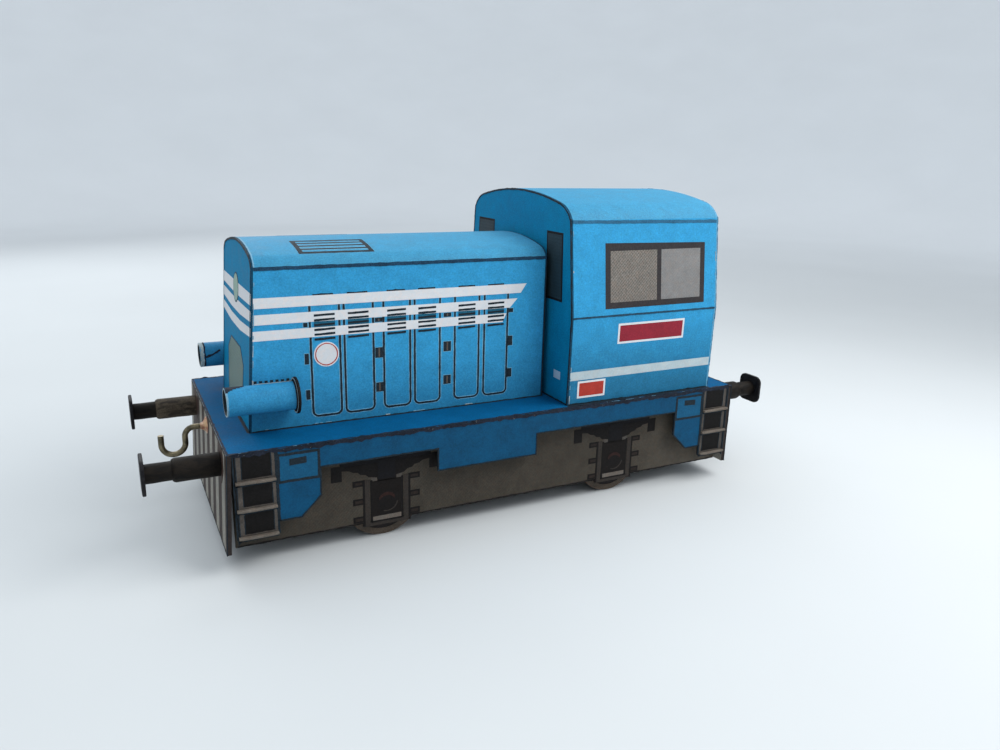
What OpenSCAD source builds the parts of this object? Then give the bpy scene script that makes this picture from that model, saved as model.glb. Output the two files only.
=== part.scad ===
// Small card model of a two-axle diesel shunting locomotive.
// +X points forwards (hood end), +Y to the left side, +Z up. The origin is on the rail,
// halfway between the buffer faces. All sizes are millimetres.

/* [Deck and headstocks] */
// Length over the headstocks
frame_len = 69; // [56:0.5:86]
// Width of the deck
deck_w = 31.3; // [30.4:0.1:40]
// Height of the deck's top above the rail
deck_top = 13.85; // [13:0.05:17]
// How far the headstocks hang below the deck's top
headstock_drop = 11.45; // [9:0.05:12.4]
// How far the front headstock's lower edge is bent forwards
front_headstock_lean = 0.65; // [0:0.05:1]

/* [Card] */
// Thickness of the thin card of the shells and skirts
card_t = 0.25; // [0.15:0.05:0.35]
// Thickness of the laminated board of the deck, headstocks and bearers
board_t = 0.5; // [0.3:0.05:0.7]

/* [Skirts and side frames] */
// Depth of the plain strip of the skirt
skirt_drop = 2.85; // [2:0.05:3.6]
// Depth of the skirt's deeper middle stretch
skirt_mid_drop = 5.65; // [4.5:0.05:6.6]
// Front end of the deeper stretch, measured from the middle of the loco
skirt_mid_front = 10.7; // [6:0.1:12]
// Rear end of the deeper stretch, measured from the middle of the loco
skirt_mid_rear = -2.8; // [-6:0.1:0]
// Width of the ladder panel at each corner
ladder_w = 4.6; // [3.8:0.1:5.4]
// How far the ladder panel hangs below the deck's top
ladder_drop = 9.85; // [8.8:0.05:10.6]
// Length of the tool box panel beside the ladder
box_w = 4.75; // [3.8:0.05:5.4]
// How far the tool box panel hangs below the deck's top
box_drop = 8.45; // [7:0.05:8.8]
// Size of the cut across the tool box panel's lower inner corner
box_chamfer = 2.3; // [1:0.1:3]
// Rungs on each ladder
rungs = 3; // [2:1:4]
// Distance from a rung's end to the panel's edge
rung_margin = 0.2; // [0:0.05:0.6]
// Height between the rungs
rung_pitch = 3.2; // [2.2:0.1:3.4]
// How far a rung stands out of the ladder panel
rung_out = 0.5; // [0.3:0.05:0.9]
// Thickness of a rung
rung_t = 0.35; // [0.2:0.05:0.5]
// How far the side frames are set in from the deck's edge
side_frame_inset = 1.75; // [1.2:0.05:2.2]
// How far the side frames hang below the deck's top
side_frame_drop = 11.6; // [10:0.1:12.4]

/* [Running gear] */
// Distance between the axles
wheelbase = 32.6; // [28:0.2:38]
// How far the middle of the wheelbase lies in front of the middle of the loco
wheelbase_shift = 0.35; // [-1:0.05:1.5]
// Diameter of a wheel
wheel_d = 9.4; // [8:0.1:10.4]
// Thickness of a wheel
wheel_t = 1.2; // [0.8:0.1:1.6]
// Gap between a wheel's face and the side frame
wheel_gap = 0.5; // [0.4:0.05:1.2]
// Diameter of a wheel's hub cap
hub_d = 3; // [2.4:0.1:4]
// How far the hub cap stands out of the wheel
hub_out = 0.15; // [0.1:0.05:0.3]
// Diameter of an axle rod
axle_d = 1.6; // [1.2:0.1:2.4]
// Radial running clearance of an axle in its bearers
axle_clearance = 0.05; // [0.02:0.01:0.1]
// Distance between the outer faces of the two bearers
bearer_span = 17; // [14:0.2:19]
// How far a bearer reaches below the axle's centre
bearer_below_axle = 2; // [1.6:0.1:2.4]
// Distance of a cross former from the nearest axle
former_offset = 7; // [5.8:0.1:8]

/* [Hood] */
// Width of the hood
hood_w = 19.1; // [16:0.1:24]
// Distance of the hood front's foot behind the front headstock
hood_setback = 3.4; // [2.5:0.1:6]
// How far the hood front leans back over the height of the side
hood_lean = 1.25; // [0:0.05:2.5]
// Height of the hood side, from the deck to the roof's spring line
hood_side_h = 18.6; // [14:0.1:19.5]
// Rise of the hood roof above the spring line
hood_rise = 2.15; // [1.4:0.05:3]
// Radius of the hood roof's rounded eaves
hood_eave_r = 2.5; // [0.5:0.1:3.5]
// Gap between the hood's rear end and the cab's front
hood_gap = 0.7; // [0:0.05:1]

/* [Cab] */
// Length of the cab
cab_len = 23.2; // [19:0.1:28]
// Distance of the cab's rear wall from the rear headstock
cab_setback = 3.8; // [2:0.1:6]
// Width of the cab at the deck
cab_foot_w = 29.65; // [26:0.05:30.2]
// Width of the cab at the waist crease
cab_waist_w = 30.1; // [26:0.1:34]
// Width of the cab at the roof's spring line
cab_top_w = 27.5; // [22:0.1:30]
// Height of the waist crease above the deck
cab_waist_h = 11.4; // [8:0.1:14]
// Height of the roof's spring line above the deck
cab_side_h = 23.4; // [20:0.1:28]
// Rise of the cab roof above the spring line
cab_rise = 3.15; // [2.2:0.05:4]
// Radius of the cab roof's rounded eaves
cab_eave_r = 4; // [0.8:0.1:5]
// How far the eaves of both roofs turn down from level, in degrees
eave_turn = 60; // [45:1:75]

/* [Headlamps] */
// Diameter of a headlamp tube
lamp_d = 3.2; // [2.4:0.1:4]
// Length of a headlamp tube
lamp_len = 7.8; // [5:0.05:10]
// How far a tube stands out in front of the hood's foot
lamp_out = 2.6; // [1:0.1:3.2]
// Gap between a tube and the hood's side
lamp_seam = 0.1; // [0.02:0.02:0.3]
// Height of a tube's centre above the deck
lamp_h = 4.4; // [3:0.1:8]
// Diameter of the collar at the back of a tube
lamp_collar_d = 4.2; // [3.4:0.1:4.6]
// Length of the collar
lamp_collar_len = 0.35; // [0.25:0.05:1.4]

/* [Buffers] */
// Distance of a buffer's centre from the middle of the loco
buffer_half_gauge = 11.3; // [7:0.1:13]
// How far a buffer's centre lies below the deck's top
buffer_below_deck = 2.45; // [2.2:0.05:5]
// Diameter of a buffer's barrel
barrel_d = 2.7; // [2:0.1:4]
// Length of a buffer's barrel
barrel_len = 5.1; // [3:0.1:7]
// Diameter of a buffer's plunger
plunger_d = 2.2; // [1.4:0.1:2.6]
// Length of the plunger between barrel and head
plunger_len = 2.7; // [1:0.1:4]
// Width of a buffer head
head_w = 4.1; // [3:0.1:6]
// Height of a buffer head
head_h = 4; // [3:0.1:4.6]
// Thickness of a buffer head
head_t = 0.4; // [0.2:0.05:0.6]
// Corner radius of a buffer head
head_corner_r = 1; // [0.4:0.1:1.2]

/* [Coupling hooks] */
// Diameter of the hook's wire
wire_d = 0.7; // [0.5:0.05:1]
// How far the wire leaves the headstock below the deck's top
hook_below_deck = 1.65; // [1.4:0.05:3]
// Straight length of wire in front of the headstock
hook_stem = 1.55; // [0.8:0.05:2]
// Centre line radius of the wire's first bend
hook_bend_r = 1.1; // [0.8:0.1:1.4]
// Length of the wire's drop between its two bends
hook_drop = 0.75; // [0.4:0.05:1.4]
// Centre line radius of the hook's bowl
hook_bowl_r = 1.35; // [1:0.05:1.8]
// Length of the hook's upright end
hook_end = 1.2; // [0.8:0.1:2.4]

/* [Hidden] */
$fn = 64;

hood_blue = "royalblue";
roof_blue = "cornflowerblue";
print_grey = "darkgray";
buffer_brown = "saddlebrown";

headstock_face = frame_len / 2;
headstock_back = headstock_face - board_t;
deck_bottom = deck_top - board_t;
deck_half = deck_w / 2;
skirt_inner = deck_half - card_t;
side_frame_face = deck_half - side_frame_inset;
box_inner_end = headstock_back - ladder_w - box_w;
box_outer_end = headstock_back - ladder_w;
rung_len = ladder_w - 2 * rung_margin;

axle_z = wheel_d / 2;
front_axle_x = wheelbase_shift + wheelbase / 2;
rear_axle_x = wheelbase_shift - wheelbase / 2;
wheel_face = side_frame_face - card_t - hub_out - wheel_gap;
bearer_face = bearer_span / 2;
bearer_bottom = axle_z - bearer_below_axle;

cab_rear_x = -headstock_face + cab_setback;
cab_front_x = cab_rear_x + cab_len;
hood_half = hood_w / 2;
hood_foot_x = headstock_face - hood_setback;
hood_rear_x = cab_front_x + hood_gap;
hood_lean_angle = atan2(hood_lean, hood_side_h);
// Horizontal thickness of the leaning front card
front_card_x = card_t / cos(hood_lean_angle);
lamp_front_x = hood_foot_x + lamp_out;
lamp_y = hood_half + lamp_d / 2 + lamp_seam;
buffer_z = deck_top - buffer_below_deck;
head_back_x = headstock_face + barrel_len + plunger_len;
hook_z = deck_top - hook_below_deck;
// Room past a cut's far side
past = 1;

// Points along an arc about c, from angle a0 to a1
function arc(c, r, a0, a1, steps) =
    [for (i = [0:steps]) let (a = a0 + (a1 - a0) * i / steps) c + r * [cos(a), sin(a)]];

// Right half of an arched roof's outline, from the crown down to the spring line.
// The broad arc runs on into an eave of radius eave_r that ends at the half width.
function roof_half(half, spring, rise, eave_r) =
    let (
        top = spring + rise,
        eave_x = half - eave_r * sin(eave_turn),
        eave_y = spring - eave_r * cos(eave_turn),
        // The broad arc is tangent to the eave's circle inside it
        k = top - eave_y,
        r = (eave_x * eave_x + k * k - eave_r * eave_r) / (2 * (k - eave_r)),
        join = atan2(eave_y - (top - r), eave_x)
    )
    concat(arc([0, top - r], r, 90, join, 12),
           arc([eave_x, eave_y], eave_r, join, 90 - eave_turn, 8));

function flipped(points) =
    [for (i = [len(points) - 1:-1:0]) [-points[i][0], points[i][1]]];

// Whole outline of a roof down to its spring line, moved inwards by inset
function roof_outline(half, spring, rise, eave_r, inset) =
    let (
        across = inset * sin(eave_turn),
        down = inset * cos(eave_turn),
        right = roof_half(half - across, spring - down, rise + down - inset, eave_r - inset)
    )
    concat(flipped(right), right);

// Turns an outline of (across, up) into a wall of the loco's cross-section from x0 to x1
module along_x(x0, x1) {
    translate([x0, 0, 0])
        rotate([90, 0, 90])
            linear_extrude(x1 - x0) children();
}

// Turns an outline of (forwards, up) into a plate between y0 and y1
module along_y(y0, y1) {
    translate([0, y1, 0])
        rotate([90, 0, 0])
            linear_extrude(y1 - y0) children();
}

module both_sides() {
    children();
    mirror([0, 1, 0]) children();
}

// Parts of the rear end are those of the front end turned round
module at_rear() {
    rotate([0, 0, 180]) children();
}

module deck() {
    color("steelblue")
        translate([-headstock_back, -skirt_inner, deck_bottom])
            cube([2 * headstock_back, 2 * skirt_inner, board_t]);
}

// The lower edge is bent forwards by lean
module headstock(lean) {
    foot = deck_top - headstock_drop;
    color("black")
        along_y(-deck_half, deck_half)
            polygon([[headstock_back, deck_top], [headstock_face, deck_top],
                     [headstock_face + lean, foot], [headstock_back + lean, foot]]);
}

// Seats what starts at the headstock's upright plane on its leaning face
module on_headstock(lean) {
    difference() {
        children();
        headstock(lean);
    }
}

// Panel of a ladder and its tool box at the front end
module skirt_corner_outline() {
    translate([box_outer_end, deck_top - ladder_drop])
        square([ladder_w, ladder_drop]);
    polygon([
        [box_outer_end, deck_top], [box_inner_end, deck_top],
        [box_inner_end, deck_top - box_drop + box_chamfer],
        [box_inner_end + box_chamfer, deck_top - box_drop],
        [box_outer_end, deck_top - box_drop]
    ]);
}

module skirt_outline() {
    translate([-headstock_back, deck_top - skirt_drop])
        square([2 * headstock_back, skirt_drop]);
    translate([skirt_mid_rear, deck_top - skirt_mid_drop])
        square([skirt_mid_front - skirt_mid_rear, skirt_mid_drop]);
    skirt_corner_outline();
    mirror([1, 0]) skirt_corner_outline();
}

module skirt_left() {
    color(hood_blue) along_y(skirt_inner, deck_half) skirt_outline();
}

module rungs_at_corner() {
    for (i = [0:rungs - 1])
        translate([box_outer_end + rung_margin, deck_half,
                   deck_top - ladder_drop + i * rung_pitch])
            cube([rung_len, rung_out, rung_t]);
}

module steps_left() {
    color("white") {
        rungs_at_corner();
        mirror([1, 0, 0]) rungs_at_corner();
    }
}

module side_frame_left() {
    color(print_grey)
        translate([-headstock_back, side_frame_face - card_t, deck_top - side_frame_drop])
            cube([2 * headstock_back, card_t, side_frame_drop - board_t]);
}

module bearer_outline() {
    difference() {
        translate([rear_axle_x - former_offset, bearer_bottom])
            square([wheelbase + 2 * former_offset, deck_bottom - bearer_bottom]);
        for (x = [rear_axle_x, front_axle_x])
            translate([x, axle_z]) circle(d = axle_d + 2 * axle_clearance);
    }
}

module bearer_left() {
    color("tan") along_y(bearer_face - board_t, bearer_face) bearer_outline();
}

// Cards across the underside, cut where the bearers pass
module cross_formers() {
    reach = side_frame_face - card_t;
    color("tan")
        difference() {
            for (x = [rear_axle_x - former_offset, rear_axle_x + former_offset,
                      front_axle_x - former_offset, front_axle_x + former_offset])
                translate([x - board_t / 2, -reach, bearer_bottom])
                    cube([board_t, 2 * reach, deck_bottom - bearer_bottom]);
            both_sides()
                translate([-frame_len / 2, bearer_face - board_t, bearer_bottom - past])
                    cube([frame_len, board_t, deck_bottom - bearer_bottom + 2 * past]);
        }
}

// Side view of the space between the rear card and the leaning front card
module behind_hood_front() {
    rise = hood_side_h + hood_rise + past;
    lean = hood_lean * rise / hood_side_h;
    foot = hood_foot_x - front_card_x;
    back = hood_rear_x + card_t;
    along_y(-deck_half, deck_half)
        polygon([[back, deck_top], [foot, deck_top],
                 [foot - lean, deck_top + rise], [back, deck_top + rise]]);
}

module hood_side_left() {
    color(hood_blue)
        intersection() {
            translate([cab_front_x, hood_half - card_t, deck_top])
                cube([frame_len, card_t, hood_side_h]);
            behind_hood_front();
        }
}

function hood_roof_outline(inset) =
    roof_outline(hood_half, deck_top + hood_side_h, hood_rise, hood_eave_r, inset);

module hood_roof() {
    color(roof_blue)
        intersection() {
            along_x(cab_front_x, headstock_face)
                difference() {
                    polygon(hood_roof_outline(0));
                    polygon(hood_roof_outline(card_t));
                }
            behind_hood_front();
        }
}

function hood_end_outline() =
    concat([[-hood_half, deck_top]], hood_roof_outline(0), [[hood_half, deck_top]]);

module hood_front() {
    rise = hood_side_h + hood_rise + past;
    lean = hood_lean * rise / hood_side_h;
    color(hood_blue)
        intersection() {
            along_x(cab_front_x, headstock_face)
                polygon(hood_end_outline());
            along_y(-deck_half, deck_half)
                polygon([[hood_foot_x - front_card_x, deck_top], [hood_foot_x, deck_top],
                         [hood_foot_x - lean, deck_top + rise],
                         [hood_foot_x - front_card_x - lean, deck_top + rise]]);
        }
}

module hood_rear() {
    color(hood_blue) along_x(hood_rear_x, hood_rear_x + card_t) polygon(hood_end_outline());
}

// Outline of a cab side, from the outer face to the inner one
function cab_wall(inset) = [
    [cab_foot_w / 2 - inset, deck_top],
    [cab_waist_w / 2 - inset, deck_top + cab_waist_h],
    [cab_top_w / 2 - inset, deck_top + cab_side_h]
];

function cab_roof_outline(inset) =
    roof_outline(cab_top_w / 2, deck_top + cab_side_h, cab_rise, cab_eave_r, inset);

function reversed(points) = [for (i = [len(points) - 1:-1:0]) points[i]];

module cab_side_left() {
    color(hood_blue)
        along_x(cab_rear_x + card_t, cab_front_x - card_t)
            polygon(concat(cab_wall(0), reversed(cab_wall(card_t))));
}

module cab_roof() {
    color(roof_blue)
        along_x(cab_rear_x + card_t, cab_front_x - card_t)
            difference() {
                polygon(cab_roof_outline(0));
                polygon(cab_roof_outline(card_t));
            }
}

module cab_end_outline() {
    polygon(concat(flipped(reversed(cab_wall(0))), cab_roof_outline(0), reversed(cab_wall(0))));
}

module cab_front() {
    color(hood_blue) along_x(cab_front_x - card_t, cab_front_x) cab_end_outline();
}

module cab_rear() {
    color(hood_blue) along_x(cab_rear_x, cab_rear_x + card_t) cab_end_outline();
}

// Rolled tube with a thicker collar at its back, which is cut flat against the hood's side
module headlamp_left() {
    color(hood_blue)
        difference() {
            translate([lamp_front_x, lamp_y, deck_top + lamp_h])
                rotate([0, -90, 0]) {
                    cylinder(d = lamp_d, h = lamp_len);
                    translate([0, 0, lamp_len - lamp_collar_len])
                        cylinder(d = lamp_collar_d, h = lamp_collar_len);
                }
            translate([0, hood_half - lamp_collar_d, deck_top])
                cube([headstock_face, lamp_collar_d, hood_side_h]);
        }
}

module buffer_barrels(lean) {
    color(buffer_brown)
        on_headstock(lean)
            both_sides()
                translate([headstock_face, buffer_half_gauge, buffer_z])
                    rotate([0, 90, 0]) cylinder(d = barrel_d, h = barrel_len);
}

// Rectangle about the origin with round corners
module rounded_rectangle(w, h, r) {
    square([w - 2 * r, h], center = true);
    square([w, h - 2 * r], center = true);
    for (x = [-1, 1], y = [-1, 1])
        translate([x * (w / 2 - r), y * (h / 2 - r)]) circle(r);
}

module buffer_heads() {
    color(buffer_brown)
        both_sides()
            translate([0, buffer_half_gauge, buffer_z]) {
                translate([headstock_face + barrel_len, 0, 0])
                    rotate([0, 90, 0]) cylinder(d = plunger_d, h = plunger_len);
                along_x(head_back_x, head_back_x + head_t)
                    rounded_rectangle(head_w, head_h, head_corner_r);
            }
}

// Bend of the hook's wire about an axis along Y, from angle a0 on through turn
module wire_bend(r, a0, turn) {
    rotate([90, 0, 0])
        rotate([0, 0, a0])
            rotate_extrude(angle = turn) translate([r, 0]) circle(d = wire_d);
}

module hook(lean) {
    drop_x = headstock_face + hook_stem + hook_bend_r;
    drop_top = hook_z - hook_bend_r;
    bowl_z = drop_top - hook_drop;
    color("goldenrod") on_headstock(lean) {
        translate([headstock_face, 0, hook_z])
            rotate([0, 90, 0]) cylinder(d = wire_d, h = hook_stem);
        translate([drop_x - hook_bend_r, 0, drop_top]) wire_bend(hook_bend_r, 0, 90);
        translate([drop_x, 0, bowl_z]) cylinder(d = wire_d, h = hook_drop);
        translate([drop_x + hook_bowl_r, 0, bowl_z]) wire_bend(hook_bowl_r, 180, 180);
        translate([drop_x + 2 * hook_bowl_r, 0, bowl_z]) cylinder(d = wire_d, h = hook_end);
    }
}

module axle(x) {
    color("wheat")
        translate([x, wheel_face - wheel_t, axle_z])
            rotate([90, 0, 0]) cylinder(d = axle_d, h = 2 * (wheel_face - wheel_t));
}

module wheel_left(x) {
    color("dimgray")
        translate([x, wheel_face - wheel_t, axle_z])
            rotate([-90, 0, 0]) {
                cylinder(d = wheel_d, h = wheel_t);
                cylinder(d = hub_d, h = wheel_t + hub_out);
            }
}

deck();
headstock(front_headstock_lean);  // headstock_front
at_rear() headstock(0);  // headstock_rear
skirt_left();
mirror([0, 1, 0]) skirt_left();  // skirt_right
steps_left();
mirror([0, 1, 0]) steps_left();  // steps_right
side_frame_left();
mirror([0, 1, 0]) side_frame_left();  // side_frame_right
bearer_left();
mirror([0, 1, 0]) bearer_left();  // bearer_right
cross_formers();
hood_side_left();
mirror([0, 1, 0]) hood_side_left();  // hood_side_right
hood_roof();
hood_front();
hood_rear();
cab_side_left();
mirror([0, 1, 0]) cab_side_left();  // cab_side_right
cab_roof();
cab_front();
cab_rear();
headlamp_left();
mirror([0, 1, 0]) headlamp_left();  // headlamp_right
buffer_barrels(front_headstock_lean);  // buffer_barrels_front
at_rear() buffer_barrels(0);  // buffer_barrels_rear
buffer_heads();  // buffer_heads_front
at_rear() buffer_heads();  // buffer_heads_rear
hook(front_headstock_lean);  // hook_front
at_rear() hook(0);  // hook_rear
axle(front_axle_x);  // front_axle
wheel_left(front_axle_x);  // front_wheel_left
mirror([0, 1, 0]) wheel_left(front_axle_x);  // front_wheel_right
axle(rear_axle_x);  // rear_axle
wheel_left(rear_axle_x);  // rear_wheel_left
mirror([0, 1, 0]) wheel_left(rear_axle_x);  // rear_wheel_right
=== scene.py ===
# Looks of a small card model of a two-axle diesel shunting locomotive, built around its frame.
# Lengths in this file are millimetres in the frame's axes and become metres as meshes are made.
# Heights called v are measured from the deck's top, because the prints were laid out from it.
import math
import random

import bmesh
import bpy
from mathutils import Matrix, Vector, noise


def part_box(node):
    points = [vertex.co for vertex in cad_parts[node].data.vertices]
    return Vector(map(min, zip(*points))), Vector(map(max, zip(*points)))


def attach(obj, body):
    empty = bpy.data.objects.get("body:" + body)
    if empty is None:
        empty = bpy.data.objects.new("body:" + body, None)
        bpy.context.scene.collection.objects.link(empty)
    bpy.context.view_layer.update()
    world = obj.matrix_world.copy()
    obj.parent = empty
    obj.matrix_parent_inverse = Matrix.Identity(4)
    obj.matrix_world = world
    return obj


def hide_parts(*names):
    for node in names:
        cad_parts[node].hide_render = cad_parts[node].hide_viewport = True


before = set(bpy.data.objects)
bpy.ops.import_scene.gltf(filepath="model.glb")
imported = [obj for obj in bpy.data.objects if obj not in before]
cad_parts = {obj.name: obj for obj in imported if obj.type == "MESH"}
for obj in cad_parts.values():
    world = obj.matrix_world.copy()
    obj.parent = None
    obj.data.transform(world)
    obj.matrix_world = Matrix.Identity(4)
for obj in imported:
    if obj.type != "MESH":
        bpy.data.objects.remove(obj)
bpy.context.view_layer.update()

MM = 0.001
AXES = {"X": 0, "Y": 1, "Z": 2}
SIDES = (("left", 1), ("right", -1))
random.seed(11)


# ---------------------------------------------------------------- sizes from the frame

def low(node, axis):
    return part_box(node)[0][AXES[axis]] / MM


def high(node, axis):
    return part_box(node)[1][AXES[axis]] / MM


def middle(node, axis):
    return (low(node, axis) + high(node, axis)) / 2


def radius(node):
    return (high(node, "Z") - low(node, "Z")) / 2


def half_width_at(node, z):
    """Largest distance from the middle plane of a node's vertices at height z."""
    found = [abs(v.co.y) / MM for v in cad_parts[node].data.vertices
             if abs(v.co.z / MM - z) < 0.01]
    return max(found)


DECK = high("deck", "Z")
CARD = high("side_frame_left", "Y") - low("side_frame_left", "Y")
DECK_X = -low("headstock_rear", "X")
DECK_Y = high("skirt_left", "Y")
LEAN_OUT = high("headstock_front", "X") - DECK_X
HEADSTOCK_V = low("headstock_front", "Z") - DECK
FRAME_Y = high("side_frame_left", "Y")
FRAME_V = low("side_frame_left", "Z") - DECK
HOOD_Y = high("hood_side_left", "Y")
HOOD_V = high("hood_side_left", "Z") - DECK
HOOD_CROWN_V = high("hood_roof", "Z") - DECK
HOOD_FOOT_X = high("hood_front", "X")
HOOD_SLOPE = (HOOD_FOOT_X - low("hood_front", "X") - CARD) / HOOD_CROWN_V
HOOD_REAR_X = low("hood_rear", "X")
CAB_FRONT_X = high("cab_front", "X")
CAB_REAR_X = low("cab_rear", "X")
CAB_TOP_V = high("cab_side_left", "Z") - DECK
CAB_CROWN_V = high("cab_roof", "Z") - DECK
CAB_WAIST_Y = high("cab_side_left", "Y")
CAB_FOOT_Y = half_width_at("cab_side_left", DECK)
CAB_TOP_Y = half_width_at("cab_side_left", DECK + CAB_TOP_V)
CAB_WAIST = max((abs(v.co.y), v.co.z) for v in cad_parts["cab_side_left"].data.vertices)
CAB_WAIST_V = CAB_WAIST[1] / MM - DECK
HOOD_ROOF = (HOOD_Y, HOOD_V, HOOD_CROWN_V, 2.5)
CAB_ROOF = (CAB_TOP_Y, CAB_TOP_V, CAB_CROWN_V, 4.0)
EAVE_TURN = math.radians(60)


# ---------------------------------------------------------------- meshes

class Shell:
    """Points in millimetres and the faces on them, gathered for one mesh."""

    def __init__(self):
        self.points = []
        self.faces = []
        self.kinds = []

    def add(self, points, faces, kinds=0):
        """kinds says which material each face has, or is one number for all of them."""
        start = len(self.points)
        self.points.extend(tuple(p) for p in points)
        self.faces.extend(tuple(start + i for i in face) for face in faces)
        self.kinds.extend([kinds] * len(faces) if isinstance(kinds, int) else kinds)

    def loft(self, rows, kind=0, closed=False):
        """Skin through rows of points that go round. It joins up or has flat ends."""
        count = len(rows[0])
        total = len(rows) * count
        faces = ring_faces(len(rows), count, closed)
        if not closed:
            faces += [tuple(range(count)), tuple(range(total - 1, total - 1 - count, -1))]
        self.add([p for row in rows for p in row], faces, kind)


def make(name, shell, materials, body="root", slot=None, stands_for=(), smooth=30):
    """One object from a shell, riding on a body. materials is one, or one for each kind."""
    if not isinstance(materials, (list, tuple)):
        materials = [materials]
    mesh = bpy.data.meshes.new(name)
    mesh.from_pydata(shell.points, [], shell.faces)
    mesh.polygons.foreach_set("material_index", shell.kinds)
    bm = bmesh.new()
    bm.from_mesh(mesh)
    bmesh.ops.recalc_face_normals(bm, faces=bm.faces)
    bmesh.ops.scale(bm, vec=(MM, MM, MM), verts=bm.verts)
    bm.to_mesh(mesh)
    bm.free()
    for material in materials:
        mesh.materials.append(material)
    if smooth:
        mesh.polygons.foreach_set("use_smooth", [True] * len(mesh.polygons))
        mesh.set_sharp_from_angle(angle=math.radians(smooth))
    obj = bpy.data.objects.new(name, mesh)
    bpy.context.scene.collection.objects.link(obj)
    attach(obj, body)
    if stands_for:
        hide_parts(*stands_for)


def ring_faces(rows, count, closed_rows=False):
    """Quads between rows of count points each, which close on themselves."""
    faces = []
    for r in range(rows if closed_rows else rows - 1):
        a = r * count
        b = (r + 1) % rows * count
        for i in range(count):
            j = (i + 1) % count
            faces.append((a + i, a + j, b + j, b + i))
    return faces


def whole_turn(steps):
    return [2 * math.pi * k / steps for k in range(steps)]


def lathe(shell, profile, place, steps, kinds=None, wobble=None):
    """Skin of (distance along an axis, radius) points turned round it. A radius of 0 closes an
    end. place(x, c, s) gives the point at distance x with the two turned coordinates."""
    points = []
    rows = []
    for x, plain_r in profile:
        if plain_r <= 0:
            rows.append([len(points)])
            points.append(place(x, 0, 0))
            continue
        row = []
        for turn in whole_turn(steps):
            r = plain_r + (wobble(x, turn) if wobble else 0)
            row.append(len(points))
            points.append(place(x, r * math.cos(turn), r * math.sin(turn)))
        rows.append(row)
    faces = []
    found = []
    for i in range(len(rows) - 1):
        a, b = rows[i], rows[i + 1]
        kind = kinds[i] if kinds else 0
        for k in range(steps):
            n = (k + 1) % steps
            if len(a) == 1:
                face = (a[0], b[k], b[n])
            elif len(b) == 1:
                face = (a[k], a[n], b[0])
            else:
                face = (a[k], a[n], b[n], b[k])
            faces.append(face)
            found.append(kind)
    shell.add(points, faces, found)


def sweep(shell, path, wire_r, steps):
    """Closed round wire along a path of points, with flat ends."""
    path = [Vector(p) for p in path]
    up = Vector((0, 1, 0))
    rows = []
    for i, p in enumerate(path):
        ahead = (path[min(i + 1, len(path) - 1)] - path[max(i - 1, 0)]).normalized()
        side = ahead.cross(up).normalized()
        rows.append([p + (side * math.cos(t) + up * math.sin(t)) * wire_r
                     for t in whole_turn(steps)])
    shell.loft(rows)


def arc(cx, cy, r, start, end, steps):
    """Points along an arc, with angles in degrees."""
    turns = [math.radians(start + (end - start) * i / steps) for i in range(steps + 1)]
    return [(cx + r * math.cos(a), cy + r * math.sin(a)) for a in turns]


def rectangle(u0, v0, u1, v1):
    return [(u0, v0), (u1, v0), (u1, v1), (u0, v1)]


def rounded(u0, v0, u1, v1, r, steps=6):
    """Outline of a rectangle with round corners."""
    u0, u1 = sorted((u0, u1))
    v0, v1 = sorted((v0, v1))
    return (arc(u1 - r, v0 + r, r, -90, 0, steps) + arc(u1 - r, v1 - r, r, 0, 90, steps)
            + arc(u0 + r, v1 - r, r, 90, 180, steps) + arc(u0 + r, v0 + r, r, 180, 270, steps))


def circle(cx, cy, r, steps=40):
    return arc(cx, cy, r, 0, 360, steps)[:-1]


def clip(outline, u0, v0, u1, v1):
    """The part of a convex outline inside a rectangle."""
    for axis, limit, keep in ((0, u0, 1), (0, u1, -1), (1, v0, 1), (1, v1, -1)):
        cut = []
        for i, p in enumerate(outline):
            q = outline[i - 1]
            p_in = (p[axis] - limit) * keep >= 0
            q_in = (q[axis] - limit) * keep >= 0
            if p_in != q_in:
                t = (limit - q[axis]) / (p[axis] - q[axis])
                cut.append((q[0] + (p[0] - q[0]) * t, q[1] + (p[1] - q[1]) * t))
            if p_in:
                cut.append(p)
        outline = cut
        if not outline:
            return []
    return outline


# ---------------------------------------------------------------- surfaces that carry prints
# Each takes (u, v, height above the surface) and gives a point of the frame.

def beside(y, side):
    return lambda u, v, h: (u, side * (y + h), DECK + v)


def across(x_at, sign=1):
    """Wall across the model whose face is at x_at(v) and looks along sign times X."""
    return lambda u, v, h: (x_at(v) + sign * h, u, DECK + v)


def deck_along(side):
    return lambda u, v, h: (u, side * v, DECK + h)


def deck_across(x):
    return lambda u, v, h: (x + v, u, DECK + h)


def past_deck(v):
    """How far the leaning front headstock stands past the deck's end at height v."""
    return LEAN_OUT * v / HEADSTOCK_V


def cab_side(side):
    def surface(u, v, h):
        if v < CAB_WAIST_V:
            y = CAB_FOOT_Y + (CAB_WAIST_Y - CAB_FOOT_Y) * v / CAB_WAIST_V
        else:
            part = (v - CAB_WAIST_V) / (CAB_TOP_V - CAB_WAIST_V)
            y = CAB_WAIST_Y + (CAB_TOP_Y - CAB_WAIST_Y) * min(part, 1)
        return (u, side * (y + h), DECK + v)
    return surface


def roof_arc(half, spring, crown, eave_r):
    """Radius and centre height of a roof's broad arc, the angle where its eave begins, and
    the eave's centre."""
    reach = half - eave_r * math.sin(EAVE_TURN)
    drop = spring - eave_r * math.cos(EAVE_TURN)
    k = crown - drop
    r = (reach * reach + k * k - eave_r * eave_r) / (2 * (k - eave_r))
    return r, crown - r, math.atan2(reach, drop - (crown - r)), reach, drop


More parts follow.
